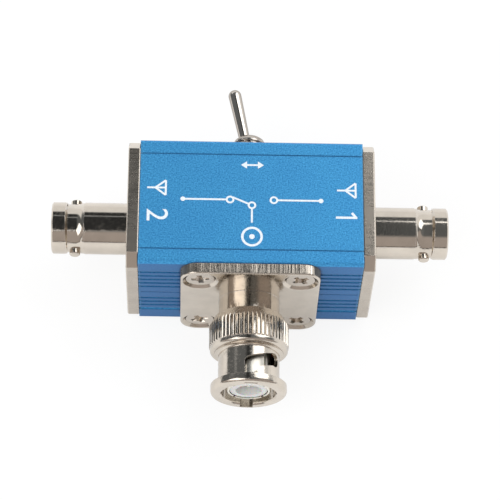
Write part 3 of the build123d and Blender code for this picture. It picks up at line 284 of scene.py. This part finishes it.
def add_softbox(name, direction, width, height, level):
    """Area lamp in a direction from the object, facing it, of a given brightness."""
    data = bpy.data.lights.new(name, "AREA")
    data.shape = "RECTANGLE"
    data.size = width
    data.size_y = height
    data.energy = level * pi * width * height
    lamp = bpy.data.objects.new(name, data)
    lamp.location = Vector((0, 0, AXIS_HEIGHT)) + LAMP_DISTANCE * Vector(direction).normalized()
    lamp.rotation_euler = Vector(direction).to_track_quat("Z", "Y").to_euler()
    lamp.visible_camera = False
    bpy.context.scene.collection.objects.link(lamp)


def white_floor(tree, glow):
    """White of which a share glows evenly and the rest shows the shadows."""
    share = 1 - glow
    shaded = tree.add("ShaderNodeBsdfDiffuse", {"Color": (share, share, share, 1)})
    even = tree.add("ShaderNodeEmission", {"Color": WHITE, "Strength": glow})
    return tree.add("ShaderNodeAddShader", {0: shaded.outputs[0], 1: even.outputs[0]}).outputs[0]


def floor_material():
    """White with a faint shadow when seen, a stronger one when mirrored, plain for matt surfaces."""
    material = bpy.data.materials.new("floor")
    tree = Tree(material)
    mirrored, seen = tree.ray_kinds()
    plain = (FLOOR_BOUNCE, FLOOR_BOUNCE, FLOOR_BOUNCE, 1)
    shader = tree.add("ShaderNodeBsdfDiffuse", {"Color": plain}).outputs[0]
    for rays, glow in ((mirrored, MIRRORED_GLOW), (seen, FLOOR_GLOW)):
        white = white_floor(tree, glow)
        shader = tree.add("ShaderNodeMixShader", {0: rays, 1: shader, 2: white}).outputs[0]
    tree.add("ShaderNodeOutputMaterial", {"Surface": shader})
    return material


def add_floor():
    mesh = bpy.data.meshes.new("floor")
    half = FLOOR_SIZE / 2
    low = cad_box[0][2] - FLOOR_GAP
    corners = [(-half, -half, low), (half, -half, low), (half, half, low), (-half, half, low)]
    mesh.from_pydata(corners, [], [(0, 1, 2, 3)])
    mesh.materials.append(floor_material())
    floor = bpy.data.objects.new("floor", mesh)
    bpy.context.scene.collection.objects.link(floor)


def add_studio():
    bpy.context.scene.view_settings.view_transform = "Standard"
    add_world()
    for name, values in SOFTBOXES.items():
        add_softbox(name, *values)
    add_floor()


# ---------------------------------------------------------------- parts of finishes
EDGE_AGREEMENT = (0.995, 0.90)  # how well rounded and flat normals agree: beside an edge, on it


def new_finish(name):
    """A new material, its node tree, and the place on the object in millimetres."""
    material = bpy.data.materials.new(name)
    tree = Tree(material)
    place = tree.vector("MULTIPLY", tree.coordinates("Object"), (1 / MM, 1 / MM, 1 / MM))
    return material, tree, place


def principled(tree, height, bump_distance, normal=None, **inputs):
    """Principled shader with a bump, joined to the output."""
    shader = tree.add("ShaderNodeBsdfPrincipled")
    for name, value in inputs.items():
        tree.set(shader.inputs[name.replace("_", " ")], value)
    bump = tree.add("ShaderNodeBump", {"Height": height, "Distance": bump_distance, "Strength": 1.0})
    if normal:
        tree.set(bump.inputs["Normal"], normal)
    tree.set(shader.inputs["Normal"], bump.outputs[0])
    tree.add("ShaderNodeOutputMaterial", {"Surface": shader.outputs[0]})


def rounded_normal(tree, radius, samples):
    """The normal as if the edges were rounded."""
    return tree.add("ShaderNodeBevel", {"Radius": radius}, samples=samples).outputs[0]


def edge_mask(tree, radius):
    """1 on edges, falling to 0 at the radius from them."""
    flat = tree.add("ShaderNodeNewGeometry").outputs["Normal"]
    agreement = tree.vector("DOT_PRODUCT", rounded_normal(tree, radius, samples=4), flat)
    return tree.step(agreement, *EDGE_AGREEMENT)


def openness(tree, reach, samples):
    """1 on open faces, less in hollows that are narrower than the reach."""
    return tree.add("ShaderNodeAmbientOcclusion", {"Distance": reach}, samples=samples).outputs["AO"]


def slant(tree):
    """0 where a face is seen square on, 1 where it is seen edge-on."""
    return tree.add("ShaderNodeLayerWeight", {"Blend": 0.5}).outputs["Facing"]


# ---------------------------------------------------------------- blue shells
DARK_GRAIN = srgb(30, 118, 190)
BRIGHT_GRAIN = srgb(92, 196, 250)
BLUE_CLOUD = srgb(44, 128, 204)
BLUE_PAINTED_SHADE = srgb(6, 54, 128)
BLUE_HOLLOW_SHADE = srgb(10, 46, 104)
BLUE_LONG_EDGE_SHADE = srgb(16, 74, 134)
BLUE_CUT_EDGE = srgb(126, 190, 234)
BLUE_MIRRORED = srgb(96, 104, 112)
BLUE_MIRRORED_SHARE = 0.90
DIE_LINE_SCALES = (0.02, 4.0, 4.0)  # long along the box, fine across it
BLUE_HOLLOW_SHADE_REACH = 0.70 * MM
BLUE_EDGE_SHADE_AND_WEAR_WIDTH = 0.45 * MM
BLUE_EDGE_SHADE_AND_WEAR_SHARE = 0.55
BLUE_ROUNDING = 0.30 * MM
CUT_END = (BOX_HALF_LENGTH / MM - 0.5, BOX_HALF_LENGTH / MM - 0.3)     # where an end begins, along X
PAINTED_SHADE_ON_SIDES = 0.73       # share of painted shade, a deeper blue, on the side faces seen aslant
PAINTED_SHADE_ON_TOP = 0.30         # and on the well-lit top, which gets less painted shade


def blue_colour(tree, place, grain):
    """Grainy blue, with painted shade as a deeper blue on sides seen aslant, in grooves and along the
    long edges, pale wear at the cut ends, greyer in mirrors.
    """
    cloud = tree.noise(place, scale=0.12, detail=2.0)
    colour = tree.mix(tree.step(grain, 0.25, 0.75), DARK_GRAIN, BRIGHT_GRAIN)
    colour = tree.mix(tree.step(cloud, 0.3, 0.7, 0.0, 0.12), colour, BLUE_CLOUD)

    # Painted shade: side faces seen aslant turn a deeper blue, standing in for the weaker light from the
    # front; the top gets less of it.
    upward = tree.parts(tree.coordinates("Normal"))["Z"]
    share = tree.step(upward, 0.2, 0.9, PAINTED_SHADE_ON_SIDES, PAINTED_SHADE_ON_TOP)
    colour = tree.mix(tree.product(tree.step(slant(tree), 0.15, 0.75), share), colour, BLUE_PAINTED_SHADE)

    # Painted shade: darker blue in the grooves and other narrow hollows, where less light reaches.
    hollow_shade = tree.step(openness(tree, BLUE_HOLLOW_SHADE_REACH, samples=6), 0.85, 0.45, 0.0, 0.85)
    colour = tree.mix(hollow_shade, colour, BLUE_HOLLOW_SHADE)

    # Along the long edges a darker blue is painted shade, where the rounded edge would mirror dark
    # surroundings; at the cut ends the edges are pale with wear.
    cut_end = tree.step(tree.sizes(place)["X"], *CUT_END)
    edge_shade_and_wear = tree.mix(cut_end, BLUE_LONG_EDGE_SHADE, BLUE_CUT_EDGE)
    edge_shade_and_wear_mask = tree.product(edge_mask(tree, BLUE_EDGE_SHADE_AND_WEAR_WIDTH), BLUE_EDGE_SHADE_AND_WEAR_SHARE)
    colour = tree.mix(edge_shade_and_wear_mask, colour, edge_shade_and_wear)

    mirrored = tree.add("ShaderNodeLightPath").outputs["Is Glossy Ray"]
    return tree.mix(tree.product(mirrored, BLUE_MIRRORED_SHARE), colour, BLUE_MIRRORED)


def anodised_blue():
    """Blasted and anodised aluminium: bright grain, faint lines from the die along the box."""
    material, tree, place = new_finish("anodised_blue_finish")
    grain = tree.noise(place, scale=3.6, detail=4.0, roughness=0.75)
    die_lines = tree.noise(tree.vector("MULTIPLY", place, DIE_LINE_SCALES), scale=1.0, detail=3.0)
    principled(
        tree,
        height=tree.total(tree.product(grain, 0.8), tree.product(die_lines, 0.2)),
        bump_distance=0.02 * MM,
        normal=rounded_normal(tree, BLUE_ROUNDING, samples=6),
        Base_Color=blue_colour(tree, place, grain), Metallic=0.6,
        Roughness=tree.step(grain, 0.2, 0.8, 0.36, 0.52),
        Coat_Weight=0.08, Coat_Roughness=0.35,
    )
    return material


# ---------------------------------------------------------------- plated metal
NICKEL = srgb(212, 203, 191)
BRIGHT_NICKEL = srgb(220, 213, 205)
STEEL = srgb(209, 200, 189)
SPRING_STEEL = srgb(150, 150, 152)
SILVER = srgb(232, 228, 218)
PAINTED_SHADE_NICKEL = srgb(112, 100, 88)
PAINTED_HOLLOW_SHADE = srgb(60, 52, 45)
WEAR_AND_HIGHLIGHT = srgb(240, 232, 226)
CLOUD_SHADE = 0.86          # brightness of the darker clouds and pits against the tint
CLOUD_ROUGHNESS = (0.75, 1.35)  # the least and most that the clouds make of the roughness
WEAR_AND_HIGHLIGHT_WIDTH = 0.12 * MM
WEAR_AND_HIGHLIGHT_SHARE = 0.4
HOLLOW_SHADE_REACH = 0.50 * MM
HOLLOW_SHADE_SHARE = 0.7
RING_SCALE = 5.0
RING_SHARE = 0.15           # height of the tool's rings against the grain
FACET_LEAN = (0.11, 0.08)   # a normal that leans more than the first is meant to; below the
                            # second the lean is only that of a facet
RIM_START = (0.4, 0.2)      # how far inside its edge a plate's rim begins, in millimetres
RIM_SQUARE = (0.90, 0.97)   # how squarely a rim's normal faces across the plate
RIM_STRETCH = 0.06          # scale of the marks along their run against across it
PLATE_HALF_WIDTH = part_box("end_plate_1")[1].y / MM
FLANGE_HALF_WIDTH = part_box("plug_body")[1].x / MM


class Lathe:
    """An axis of turning through the middle of the box, in millimetres."""

    def __init__(self, direction):
        self.direction = Vector(direction)
        self.point = Vector((0, 0, AXIS_HEIGHT / MM))

    def split(self, tree, place):
        """Distance along the axis, and the vector that leads from the axis to the place."""
        moved = tree.vector("SUBTRACT", place, self.point)
        along = tree.vector("DOT_PRODUCT", moved, self.direction)
        return along, tree.vector("SUBTRACT", moved, tree.vector("MULTIPLY", self.direction, along))

    def rings(self, tree, place):
        """Fine rings that the lathe's tool leaves."""
        along, radial = self.split(tree, place)
        distance = tree.vector("LENGTH", radial)
        joined = tree.add("ShaderNodeCombineXYZ", {"X": along, "Y": distance}).outputs[0]
        return tree.noise(joined, scale=RING_SCALE, detail=3.0, roughness=0.6)

    def true_normal(self, tree, place, normal):
        """The normal without its slight lean to the side of the axis, which hides the facets."""
        radial = self.split(tree, place)[1]
        around = tree.vector("NORMALIZE", tree.vector("CROSS_PRODUCT", self.direction, radial))
        around = tree.add(
            "ShaderNodeVectorTransform", {"Vector": around},
            vector_type="VECTOR", convert_from="OBJECT", convert_to="WORLD",
        ).outputs[0]
        lean = tree.vector("DOT_PRODUCT", normal, around)
        facet = tree.step(tree.math("ABSOLUTE", lean), *FACET_LEAN)
        shift = tree.vector("MULTIPLY", around, tree.product(lean, facet))
        return tree.vector("NORMALIZE", tree.vector("SUBTRACT", normal, shift))


class CutRim:
    """Saw or mill marks on the square rim of a plate, running along one axis, and the rim's painted
    shade.
    """

    def __init__(self, half_width, along, scale, depth, roughness, shade):
        self.half_width = half_width
        self.along = along
        self.scale = scale
        self.depth = depth
        self.roughness = roughness
        self.shade = shade

    def marks(self, tree, place):
        """Height of the marks."""
        factors = [RIM_STRETCH if name == self.along else 1.0 for name in "XYZ"]
        stretched = tree.vector("MULTIPLY", place, factors)
        pattern = tree.noise(stretched, scale=self.scale, detail=3.0, roughness=0.6)
        return tree.product(pattern, self.depth)

    def where(self, tree, place):
        """1 on the rim, 0 elsewhere."""
        across = [name for name in "XYZ" if name != self.along]
        moved = tree.vector("SUBTRACT", place, (0, 0, AXIS_HEIGHT / MM))
        far = tree.sizes(moved)
        reach = tree.largest(*(far[name] for name in across))
        faces = tree.sizes(tree.coordinates("Normal"))
        square = tree.largest(*(faces[name] for name in across))
        near_edge = tree.step(reach, *(self.half_width - inside for inside in RIM_START))
        return tree.product(near_edge, tree.step(square, *RIM_SQUARE))


def plated_colour(tree, tint, smudge, pits, edge_on_shade):
    """Cloudy tint, darker in pits, paler on worn edges with a painted highlight, painted shade in
    hollows and where seen edge-on.
    """
    dark = tuple(CLOUD_SHADE * level for level in tint[:3]) + (1.0,)
    colour = tree.mix(tree.step(smudge, 0.3, 0.7, 0.0, 0.5), tint, dark)
    colour = tree.mix(tree.step(pits, 0.45, 0.25, 0.0, 0.35), colour, dark)
    # Pale edges: partly wear, partly a painted highlight along the rounded edges.
    colour = tree.mix(tree.product(edge_mask(tree, WEAR_AND_HIGHLIGHT_WIDTH), WEAR_AND_HIGHLIGHT_SHARE), colour, WEAR_AND_HIGHLIGHT)
    # Painted shade: darker brown in hollows narrower than the reach, where less light falls.
    hollow_shade = tree.step(openness(tree, HOLLOW_SHADE_REACH, samples=4), 0.65, 0.2, 0.0, HOLLOW_SHADE_SHARE)
    colour = tree.mix(hollow_shade, colour, PAINTED_HOLLOW_SHADE)
    if edge_on_shade:
        # Painted shade: darker where the metal is seen edge-on, where it would mirror the shadowed
        # floor.
        colour = tree.mix(tree.step(slant(tree), 0.22, 0.60, 0.0, edge_on_shade), colour, PAINTED_SHADE_NICKEL)
    return colour


def plated_roughness(tree, place, smudge, roughness, haze):
    """Roughness that varies with the clouds, and hazy specks."""
    specks = tree.noise(place, scale=1.9, detail=4.0, roughness=0.7)
    cloudy = tree.step(smudge, 0.25, 0.75, *(share * roughness for share in CLOUD_ROUGHNESS))
    return tree.total(cloudy, tree.step(specks, 0.46, 0.66, 0.0, haze))


def nickel(name, tint, roughness, lathe=None, grain=0.006, haze=0.0, rounding=0.05, rim=None,
           edge_on_shade=0.0):
    """Plated metal; grain and rounding are in millimetres.

    lathe is given for turned pieces, and rim for plates whose rim keeps its coarse cut marks.
    The last argument is how much painted shade darkens the metal where it is seen edge-on.
    """
    material, tree, place = new_finish(name)
    smudge = tree.noise(place, scale=0.35, detail=3.0)
    pits = tree.noise(place, scale=3.0, detail=4.0, roughness=0.65)
    colour = plated_colour(tree, tint, smudge, pits, edge_on_shade)
    rough = plated_roughness(tree, place, smudge, roughness, haze)
    height = tree.product(pits, grain)
    normal = rounded_normal(tree, rounding * MM, samples=4)
    if lathe:
        normal = lathe.true_normal(tree, place, normal)
        height = tree.total(height, tree.product(lathe.rings(tree, place), grain * RING_SHARE))
    if rim:
        where = rim.where(tree, place)
        height = tree.total(height, tree.product(rim.marks(tree, place), where))
        rough = tree.total(rough, tree.product(where, rim.roughness))
        # Painted shade: the cut rims are darkened towards a dark nickel.
        colour = tree.mix(tree.product(where, rim.shade), colour, PAINTED_SHADE_NICKEL)
    principled(
        tree, height=height, bump_distance=MM, normal=normal,
        Base_Color=colour, Metallic=1.0, Roughness=rough,
    )
    return material


# ---------------------------------------------------------------- plastics, rubber and ink
def white_insulator():
    """Smooth white plastic that lets a little light in."""
    material, tree, place = new_finish("insulator_finish")
    cloud = tree.noise(place, scale=0.6, detail=2.0)
    fine = tree.noise(place, scale=6.0, detail=2.0)
    principled(
        tree, height=fine, bump_distance=0.004 * MM,
        Base_Color=tree.mix(cloud, srgb(232, 231, 228), srgb(243, 242, 240)),
        Roughness=tree.step(fine, 0.3, 0.7, 0.38, 0.5),
        Subsurface_Weight=0.25, Subsurface_Scale=0.6 * MM,
    )
    return material


def red_rubber():
    material, tree, place = new_finish("rubber_finish")
    fine = tree.noise(place, scale=4.0, detail=3.0)
    principled(
        tree, height=fine, bump_distance=0.01 * MM,
        Base_Color=tree.mix(fine, srgb(120, 40, 30), srgb(150, 58, 44)),
        Roughness=tree.step(fine, 0.3, 0.7, 0.55, 0.7),
    )
    return material


def moulded_plastic():
    """The toggle's dark blue case."""
    material, tree, place = new_finish("case_finish")
    fine = tree.noise(place, scale=5.0, detail=3.0)
    cloud = tree.noise(place, scale=0.4, detail=2.0)
    principled(
        tree, height=fine, bump_distance=0.008 * MM,
        Base_Color=tree.mix(cloud, srgb(20, 48, 96), srgb(30, 62, 116)),
        Roughness=tree.step(fine, 0.3, 0.7, 0.35, 0.5),
    )
    return material


def legend_ink():
    """White screen ink, a little uneven."""
    material, tree, place = new_finish("legend_ink_finish")
    patch = tree.noise(place, scale=3.0, detail=3.0)
    principled(
        tree, height=patch, bump_distance=0.003 * MM,
        Base_Color=tree.mix(tree.step(patch, 0.35, 0.65), srgb(214, 226, 236), srgb(236, 241, 245)),
        Roughness=tree.step(patch, 0.3, 0.7, 0.5, 0.62),
    )
    return material


# ---------------------------------------------------------------- finishes of the CAD nodes
def finishes():
    """The finish of each group of CAD nodes."""
    across, forward = Lathe((1, 0, 0)), Lathe((0, 1, 0))
    flange_rim = CutRim(FLANGE_HALF_WIDTH, "Y", scale=2.4, depth=0.10, roughness=0.12, shade=0.25)
    plate_rim = CutRim(PLATE_HALF_WIDTH, "X", scale=2.2, depth=0.03, roughness=0.10, shade=0.25)
    jack = nickel("jack_finish", NICKEL, 0.09, across, grain=0.005, haze=0.10)
    plug = nickel("plug_finish", NICKEL, 0.10, forward, grain=0.010, haze=0.14, rounding=0.20,
                  rim=flange_rim)
    knurled = nickel("coupling_nut_finish", NICKEL, 0.09, forward, grain=0.013, haze=0.20)
    plate = nickel("plate_finish", NICKEL, 0.16, grain=0.008, rim=plate_rim)
    screw = nickel("screw_finish", STEEL, 0.14)
    contact = nickel("contact_finish", SILVER, 0.28)
    spring = nickel("spring_finish", SPRING_STEEL, 0.25)
    lever = nickel("lever_finish", BRIGHT_NICKEL, 0.08, grain=0.003, edge_on_shade=0.7)
    white = white_insulator()
    table = {
        anodised_blue(): ["upper_shell", "lower_shell"],
        plate: ["end_plate_1", "end_plate_2"],
        plug: ["plug_body"],
        knurled: ["coupling_nut", "nut_back_ring"],
        lever: ["toggle_bushing", "toggle_lever", "toggle_nut", "toggle_washer"],
        screw: ["end_plate_screws_1", "end_plate_screws_2", "plug_flange_screws",
                "toggle_bracket", "toggle_inner_washer"],
        contact: ["plug_outer_contact", "plug_centre_pin", "toggle_rocker", "toggle_terminal_common",
                  "toggle_terminal_1", "toggle_terminal_2", "wire_common", "wire_1", "wire_2"],
        spring: ["plug_retaining_clip", "plug_spring_washer", "plug_thrust_washer",
                 "toggle_plunger_spring"],
        white: ["plug_insulator", "toggle_plunger"],
        red_rubber(): ["plug_gasket"],
        moulded_plastic(): ["toggle_case"],
        jack: [],
    }
    for number in "12":
        table[jack] += [f"jack_{number}_body", f"jack_{number}_nut"]
        table[white].append(f"jack_{number}_insulator")
        table[contact] += [f"jack_{number}_contact", f"jack_{number}_solder_tag"]
        table[screw].append(f"jack_{number}_lock_washer")
    return table


SMOOTH_ANGLE = radians(32)
FLAT_ANGLE = radians(0.3)
WELD_DISTANCE = 1e-7
EDGE_ROUND = {              # the width of the small rounds that catch the light
    "end_plate_1": 0.12 * MM,
    "end_plate_2": 0.12 * MM,
    "toggle_nut": 0.06 * MM,
}


def smooth_node(node):
    """Smooth shading with crisp edges, or with small rounds where EDGE_ROUND says so."""
    data = node.data
    data.polygons.foreach_set("use_smooth", [True] * len(data.polygons))
    if "custom_normal" in data.attributes:
        data.attributes.remove(data.attributes["custom_normal"])
    weld = node.modifiers.new("weld", "WELD")
    weld.merge_threshold = WELD_DISTANCE
    if node.name in EDGE_ROUND:
        flat = node.modifiers.new("flat", "DECIMATE")
        flat.decimate_type = "DISSOLVE"
        flat.angle_limit = FLAT_ANGLE
        bevel = node.modifiers.new("bevel", "BEVEL")
        bevel.width = EDGE_ROUND[node.name]
        bevel.segments = 2
        bevel.limit_method = "ANGLE"
        bevel.angle_limit = SMOOTH_ANGLE
        bevel.harden_normals = True
    else:
        split = node.modifiers.new("split", "EDGE_SPLIT")
        split.split_angle = SMOOTH_ANGLE
    weighted = node.modifiers.new("weighted", "WEIGHTED_NORMAL")
    weighted.keep_sharp = True


def dress_nodes():
    for material, names in finishes().items():
        for name in names:
            node = NODES[name]
            node.data.materials.clear()
            node.data.materials.append(material)
    for node in NODES.values():
        smooth_node(node)


# ---------------------------------------------------------------- threaded bushing
THREAD_PITCH = 0.635 * MM
THREAD_DEPTH = 0.30 * MM
THREAD_FLANK = 3.0          # steepness of the groove's sides
THREAD_CREST = 0.35         # how much of the groove's form the flat crest takes away
THREAD_SIDES = 64
THREAD_ROWS = 10            # rows of points in one pitch
TURNED_TOLERANCE = 0.01 * MM
SIDEWAYS = 0.1              # a normal along the axis of less than this is that of a barrel


def thread_depth(phase):
    """Depth of the thread's groove, as a share, over one pitch."""
    from_crest = 0.5 - abs(phase - 0.5)
    return min(max(THREAD_FLANK * from_crest - THREAD_CREST, 0.0), 1.0)


def thread_rows(form, middle_x, outer, start, end):
    """Rings of points that follow a helical thread, which fades out at both ends."""
    count = round((end - start) / THREAD_PITCH * THREAD_ROWS)
    rows = []
    for index in range(count + 1):
        y = start + (end - start) * index / count
        fade = min((y - start) / THREAD_PITCH, (end - y) / (THREAD_PITCH / 2), 1.0)
        row = []
        for side in range(THREAD_SIDES):
            share = side / THREAD_SIDES
            groove = THREAD_DEPTH * thread_depth((y / THREAD_PITCH - share) % 1.0) * fade
            x = middle_x + (outer - groove) * cos(2 * pi * share)
            z = AXIS_HEIGHT + (outer - groove) * sin(2 * pi * share)
            row.append(form.verts.new((x, y, z)))
        rows.append(row)
    return rows


def add_threaded_bushing():
    """The toggle's bushing with a helical thread where the CAD has a plain cylinder."""
    name = "toggle_bushing"
    low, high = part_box(name)
    middle_x = (low.x + high.x) / 2
    form = bmesh.new()
    form.from_mesh(NODES[name].data)
    bmesh.ops.remove_doubles(form, verts=form.verts, dist=WELD_DISTANCE)

    def radius(vertex):
        return hypot(vertex.co.x - middle_x, vertex.co.z - AXIS_HEIGHT)

    outer = max(radius(vertex) for vertex in form.verts if vertex.co.y > BOX_HALF_DEPTH)
    barrel = [
        face for face in form.faces
        if all(abs(radius(vertex) - outer) < TURNED_TOLERANCE for vertex in face.verts)
        and abs(face.normal.y) < SIDEWAYS
    ]
    start = min(vertex.co.y for face in barrel for vertex in face.verts)
    end = max(vertex.co.y for face in barrel for vertex in face.verts)
    bmesh.ops.delete(form, geom=barrel, context="FACES")

    rows = thread_rows(form, middle_x, outer, start, end)
    for lower, upper in zip(rows, rows[1:]):
        for side in range(THREAD_SIDES):
            beside = (side + 1) % THREAD_SIDES
            form.faces.new((lower[side], upper[side], upper[beside], lower[beside]))
    mesh = bpy.data.meshes.new("threaded_bushing")
    form.to_mesh(mesh)
    form.free()
    mesh.materials.append(NODES[name].data.materials[0])
    piece = bpy.data.objects.new("threaded_bushing", mesh)
    bpy.context.scene.collection.objects.link(piece)
    smooth_node(piece)
    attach(piece, "housing")
    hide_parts(name)


# ---------------------------------------------------------------- legend
INK_HEIGHT = BOX_TOP + 0.012 * MM
INK_LAYER = 0.002 * MM      # each shape lies this much above the one it crosses

# Sizes and places of the signs, in millimetres on the top face.
LINE = 0.36
READING = radians(-90)      # the signs beside the jacks have their tops towards jack 1
SIDE_COLUMN = 17.35         # how far the signs beside the jacks are from the middle

NUMBER_ROW = -2.9
NUMBER_HEIGHT = 3.9
NUMBER_LINE = 0.46
FLAG_START = (0.1, -0.15)   # start of the number 1's flag, from the top of its stroke
DIGIT_SHARE = 0.70          # a digit's height as a share of the font's size

ANTENNA_ROW = 2.6
ANTENNA_HALF_HEIGHT = 1.7
ANTENNA_HALF_WIDTH = 1.5
ANTENNA_FORK = -0.2

CHANGEOVER_PLACE = (0.1, 0.4)
TERMINAL_RADIUS = 0.6
TERMINAL_DISTANCE = 4.0     # from the middle to the rings of the side contacts
PIVOT_ROW = -1.1            # the ring of the moving arm
ARM = (-0.55, -0.85, -3.5, 0.45)
LEAD_END = 12.4
LEAD_DOT_PLACE = 12.6
LEAD_DOT_RADIUS = 0.45
STEM_END = -4.6             # end of the lead towards the plug

SOCKET_PLACE = (0.14, -7.0)
SOCKET_RADIUS = 1.75
SOCKET_LINE = 0.45
SOCKET_PIN_RADIUS = 0.5

ARROW_PLACE = (0.15, 7.5)
ARROW_SHAFT = 1.2
ARROW_HEAD_BACK = 1.0
ARROW_TIP = 2.1
ARROW_HALF_WIDTH = 0.75


class Ink:
    """Flat printed shapes on the top face, gathered into one mesh."""

    def __init__(self, origin, turn=0.0):
        self.points = []
        self.faces = []
        self.layers = 0
        self.origin = origin
        self.turn = turn

    def place(self, x, y):
        spot_x = x * cos(self.turn) - y * sin(self.turn) + self.origin[0]
        spot_y = x * sin(self.turn) + y * cos(self.turn) + self.origin[1]
        return (spot_x * MM, spot_y * MM, INK_HEIGHT + self.layers * INK_LAYER)

    def polygon(self, corners, layer=1):
        self.layers += layer
        start = len(self.points)
        self.points += [self.place(x, y) for x, y in corners]
        self.faces.append(tuple(range(start, start + len(corners))))

    def line(self, x0, y0, x1, y1, width=LINE):
        length = hypot(x1 - x0, y1 - y0)
        side_x = (y0 - y1) / length * width / 2
        side_y = (x1 - x0) / length * width / 2
        self.polygon([
            (x0 + side_x, y0 + side_y), (x0 - side_x, y0 - side_y),
            (x1 - side_x, y1 - side_y), (x1 + side_x, y1 + side_y),
        ])

    def ring(self, x, y, radius, width=LINE, steps=48):
        """A ring of four-sided faces, which share a layer because they only touch."""
        inner, outer = radius - width / 2, radius + width / 2
        self.layers += 1
        for index in range(steps):
            a = 2 * pi * index / steps
            b = 2 * pi * (index + 1) / steps
            self.polygon([
                (x + inner * cos(a), y + inner * sin(a)), (x + outer * cos(a), y + outer * sin(a)),
                (x + outer * cos(b), y + outer * sin(b)), (x + inner * cos(b), y + inner * sin(b)),
            ], layer=0)

    def dot(self, x, y, radius, steps=32):
        turns = [2 * pi * index / steps for index in range(steps)]
        self.polygon([(x + radius * cos(a), y + radius * sin(a)) for a in turns])

    def piece(self, name, material):
        mesh = bpy.data.meshes.new(name)
        mesh.from_pydata(self.points, [], self.faces)
        add_ink_piece(name, mesh, material)


def add_ink_piece(name, mesh, material):
    mesh.materials.clear()
    mesh.materials.append(material)
    piece = bpy.data.objects.new(name, mesh)
    bpy.context.scene.collection.objects.link(piece)
    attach(piece, "housing")


def one_sign():
    """The number 1 in strokes, with its flag."""
    ink = Ink((SIDE_COLUMN, NUMBER_ROW), READING)
    top = NUMBER_HEIGHT / 2
    ink.line(0, -top, 0, top, NUMBER_LINE)
    ink.line(FLAG_START[0], top + FLAG_START[1], -top / 2, top / 2, NUMBER_LINE)
    return ink


def add_number_two(material):
    """The number 2 from Blender's own font, centred on its place."""
    curve = bpy.data.curves.new("numeral_2", "FONT")
    curve.body = "2"
    curve.align_x = "CENTER"
    curve.align_y = "CENTER"
    curve.size = NUMBER_HEIGHT / DIGIT_SHARE * MM
    curve.resolution_u = 12
    holder = bpy.data.objects.new("numeral_2", curve)
    bpy.context.scene.collection.objects.link(holder)
    bpy.context.view_layer.update()
    mesh = bpy.data.meshes.new_from_object(holder.evaluated_get(bpy.context.evaluated_depsgraph_get()))
    bpy.data.objects.remove(holder)
    bpy.data.curves.remove(curve)
    place = Matrix.Translation((-SIDE_COLUMN * MM, NUMBER_ROW * MM, INK_HEIGHT))
    mesh.transform(place @ Matrix.Rotation(READING, 4, "Z"))
    add_ink_piece("legend_number_2", mesh, material)


def antenna_sign(side):
    """Mast and closed V, the common sign for an antenna."""
    ink = Ink((side * SIDE_COLUMN, ANTENNA_ROW), READING)
    ink.line(0, -ANTENNA_HALF_HEIGHT, 0, ANTENNA_HALF_HEIGHT)
    for x in (-ANTENNA_HALF_WIDTH, ANTENNA_HALF_WIDTH):
        ink.line(0, ANTENNA_FORK, x, ANTENNA_HALF_HEIGHT)
    ink.line(-ANTENNA_HALF_WIDTH, ANTENNA_HALF_HEIGHT, ANTENNA_HALF_WIDTH, ANTENNA_HALF_HEIGHT)
    return ink


def changeover_sign():
    """Two side contacts with their leads, the moving arm and its lead towards the plug."""
    ink = Ink(CHANGEOVER_PLACE)
    for side in (-1, 1):
        ink.line(side * LEAD_END, 0, side * (TERMINAL_DISTANCE + TERMINAL_RADIUS), 0)
        ink.ring(side * TERMINAL_DISTANCE, 0, TERMINAL_RADIUS)
        ink.dot(side * LEAD_DOT_PLACE, 0, LEAD_DOT_RADIUS)
    ink.ring(0, PIVOT_ROW, TERMINAL_RADIUS)
    ink.line(*ARM)
    ink.line(0, PIVOT_ROW - TERMINAL_RADIUS, 0, STEM_END)
    return ink


def socket_sign():
    """Ring and dot: a coaxial port seen from its end."""
    ink = Ink(SOCKET_PLACE)
    ink.ring(0, 0, SOCKET_RADIUS, width=SOCKET_LINE)
    ink.dot(0, 0, SOCKET_PIN_RADIUS)
    return ink


def throw_sign():
    """Double arrow for the two throws of the lever."""
    ink = Ink(ARROW_PLACE)
    ink.line(-ARROW_SHAFT, 0, ARROW_SHAFT, 0)
    for side in (-1, 1):
        back = side * ARROW_HEAD_BACK
        half_width = side * ARROW_HALF_WIDTH
        ink.polygon([(side * ARROW_TIP, 0), (back, half_width), (back, -half_width)])
    return ink


def add_legend():
    ink = legend_ink()
    one_sign().piece("legend_number_1", ink)
    add_number_two(ink)
    antenna_sign(1).piece("legend_antenna_1", ink)
    antenna_sign(-1).piece("legend_antenna_2", ink)
    changeover_sign().piece("legend_changeover", ink)
    socket_sign().piece("legend_socket", ink)
    throw_sign().piece("legend_throws", ink)


add_camera()
add_studio()
dress_nodes()
add_threaded_bushing()
add_legend()
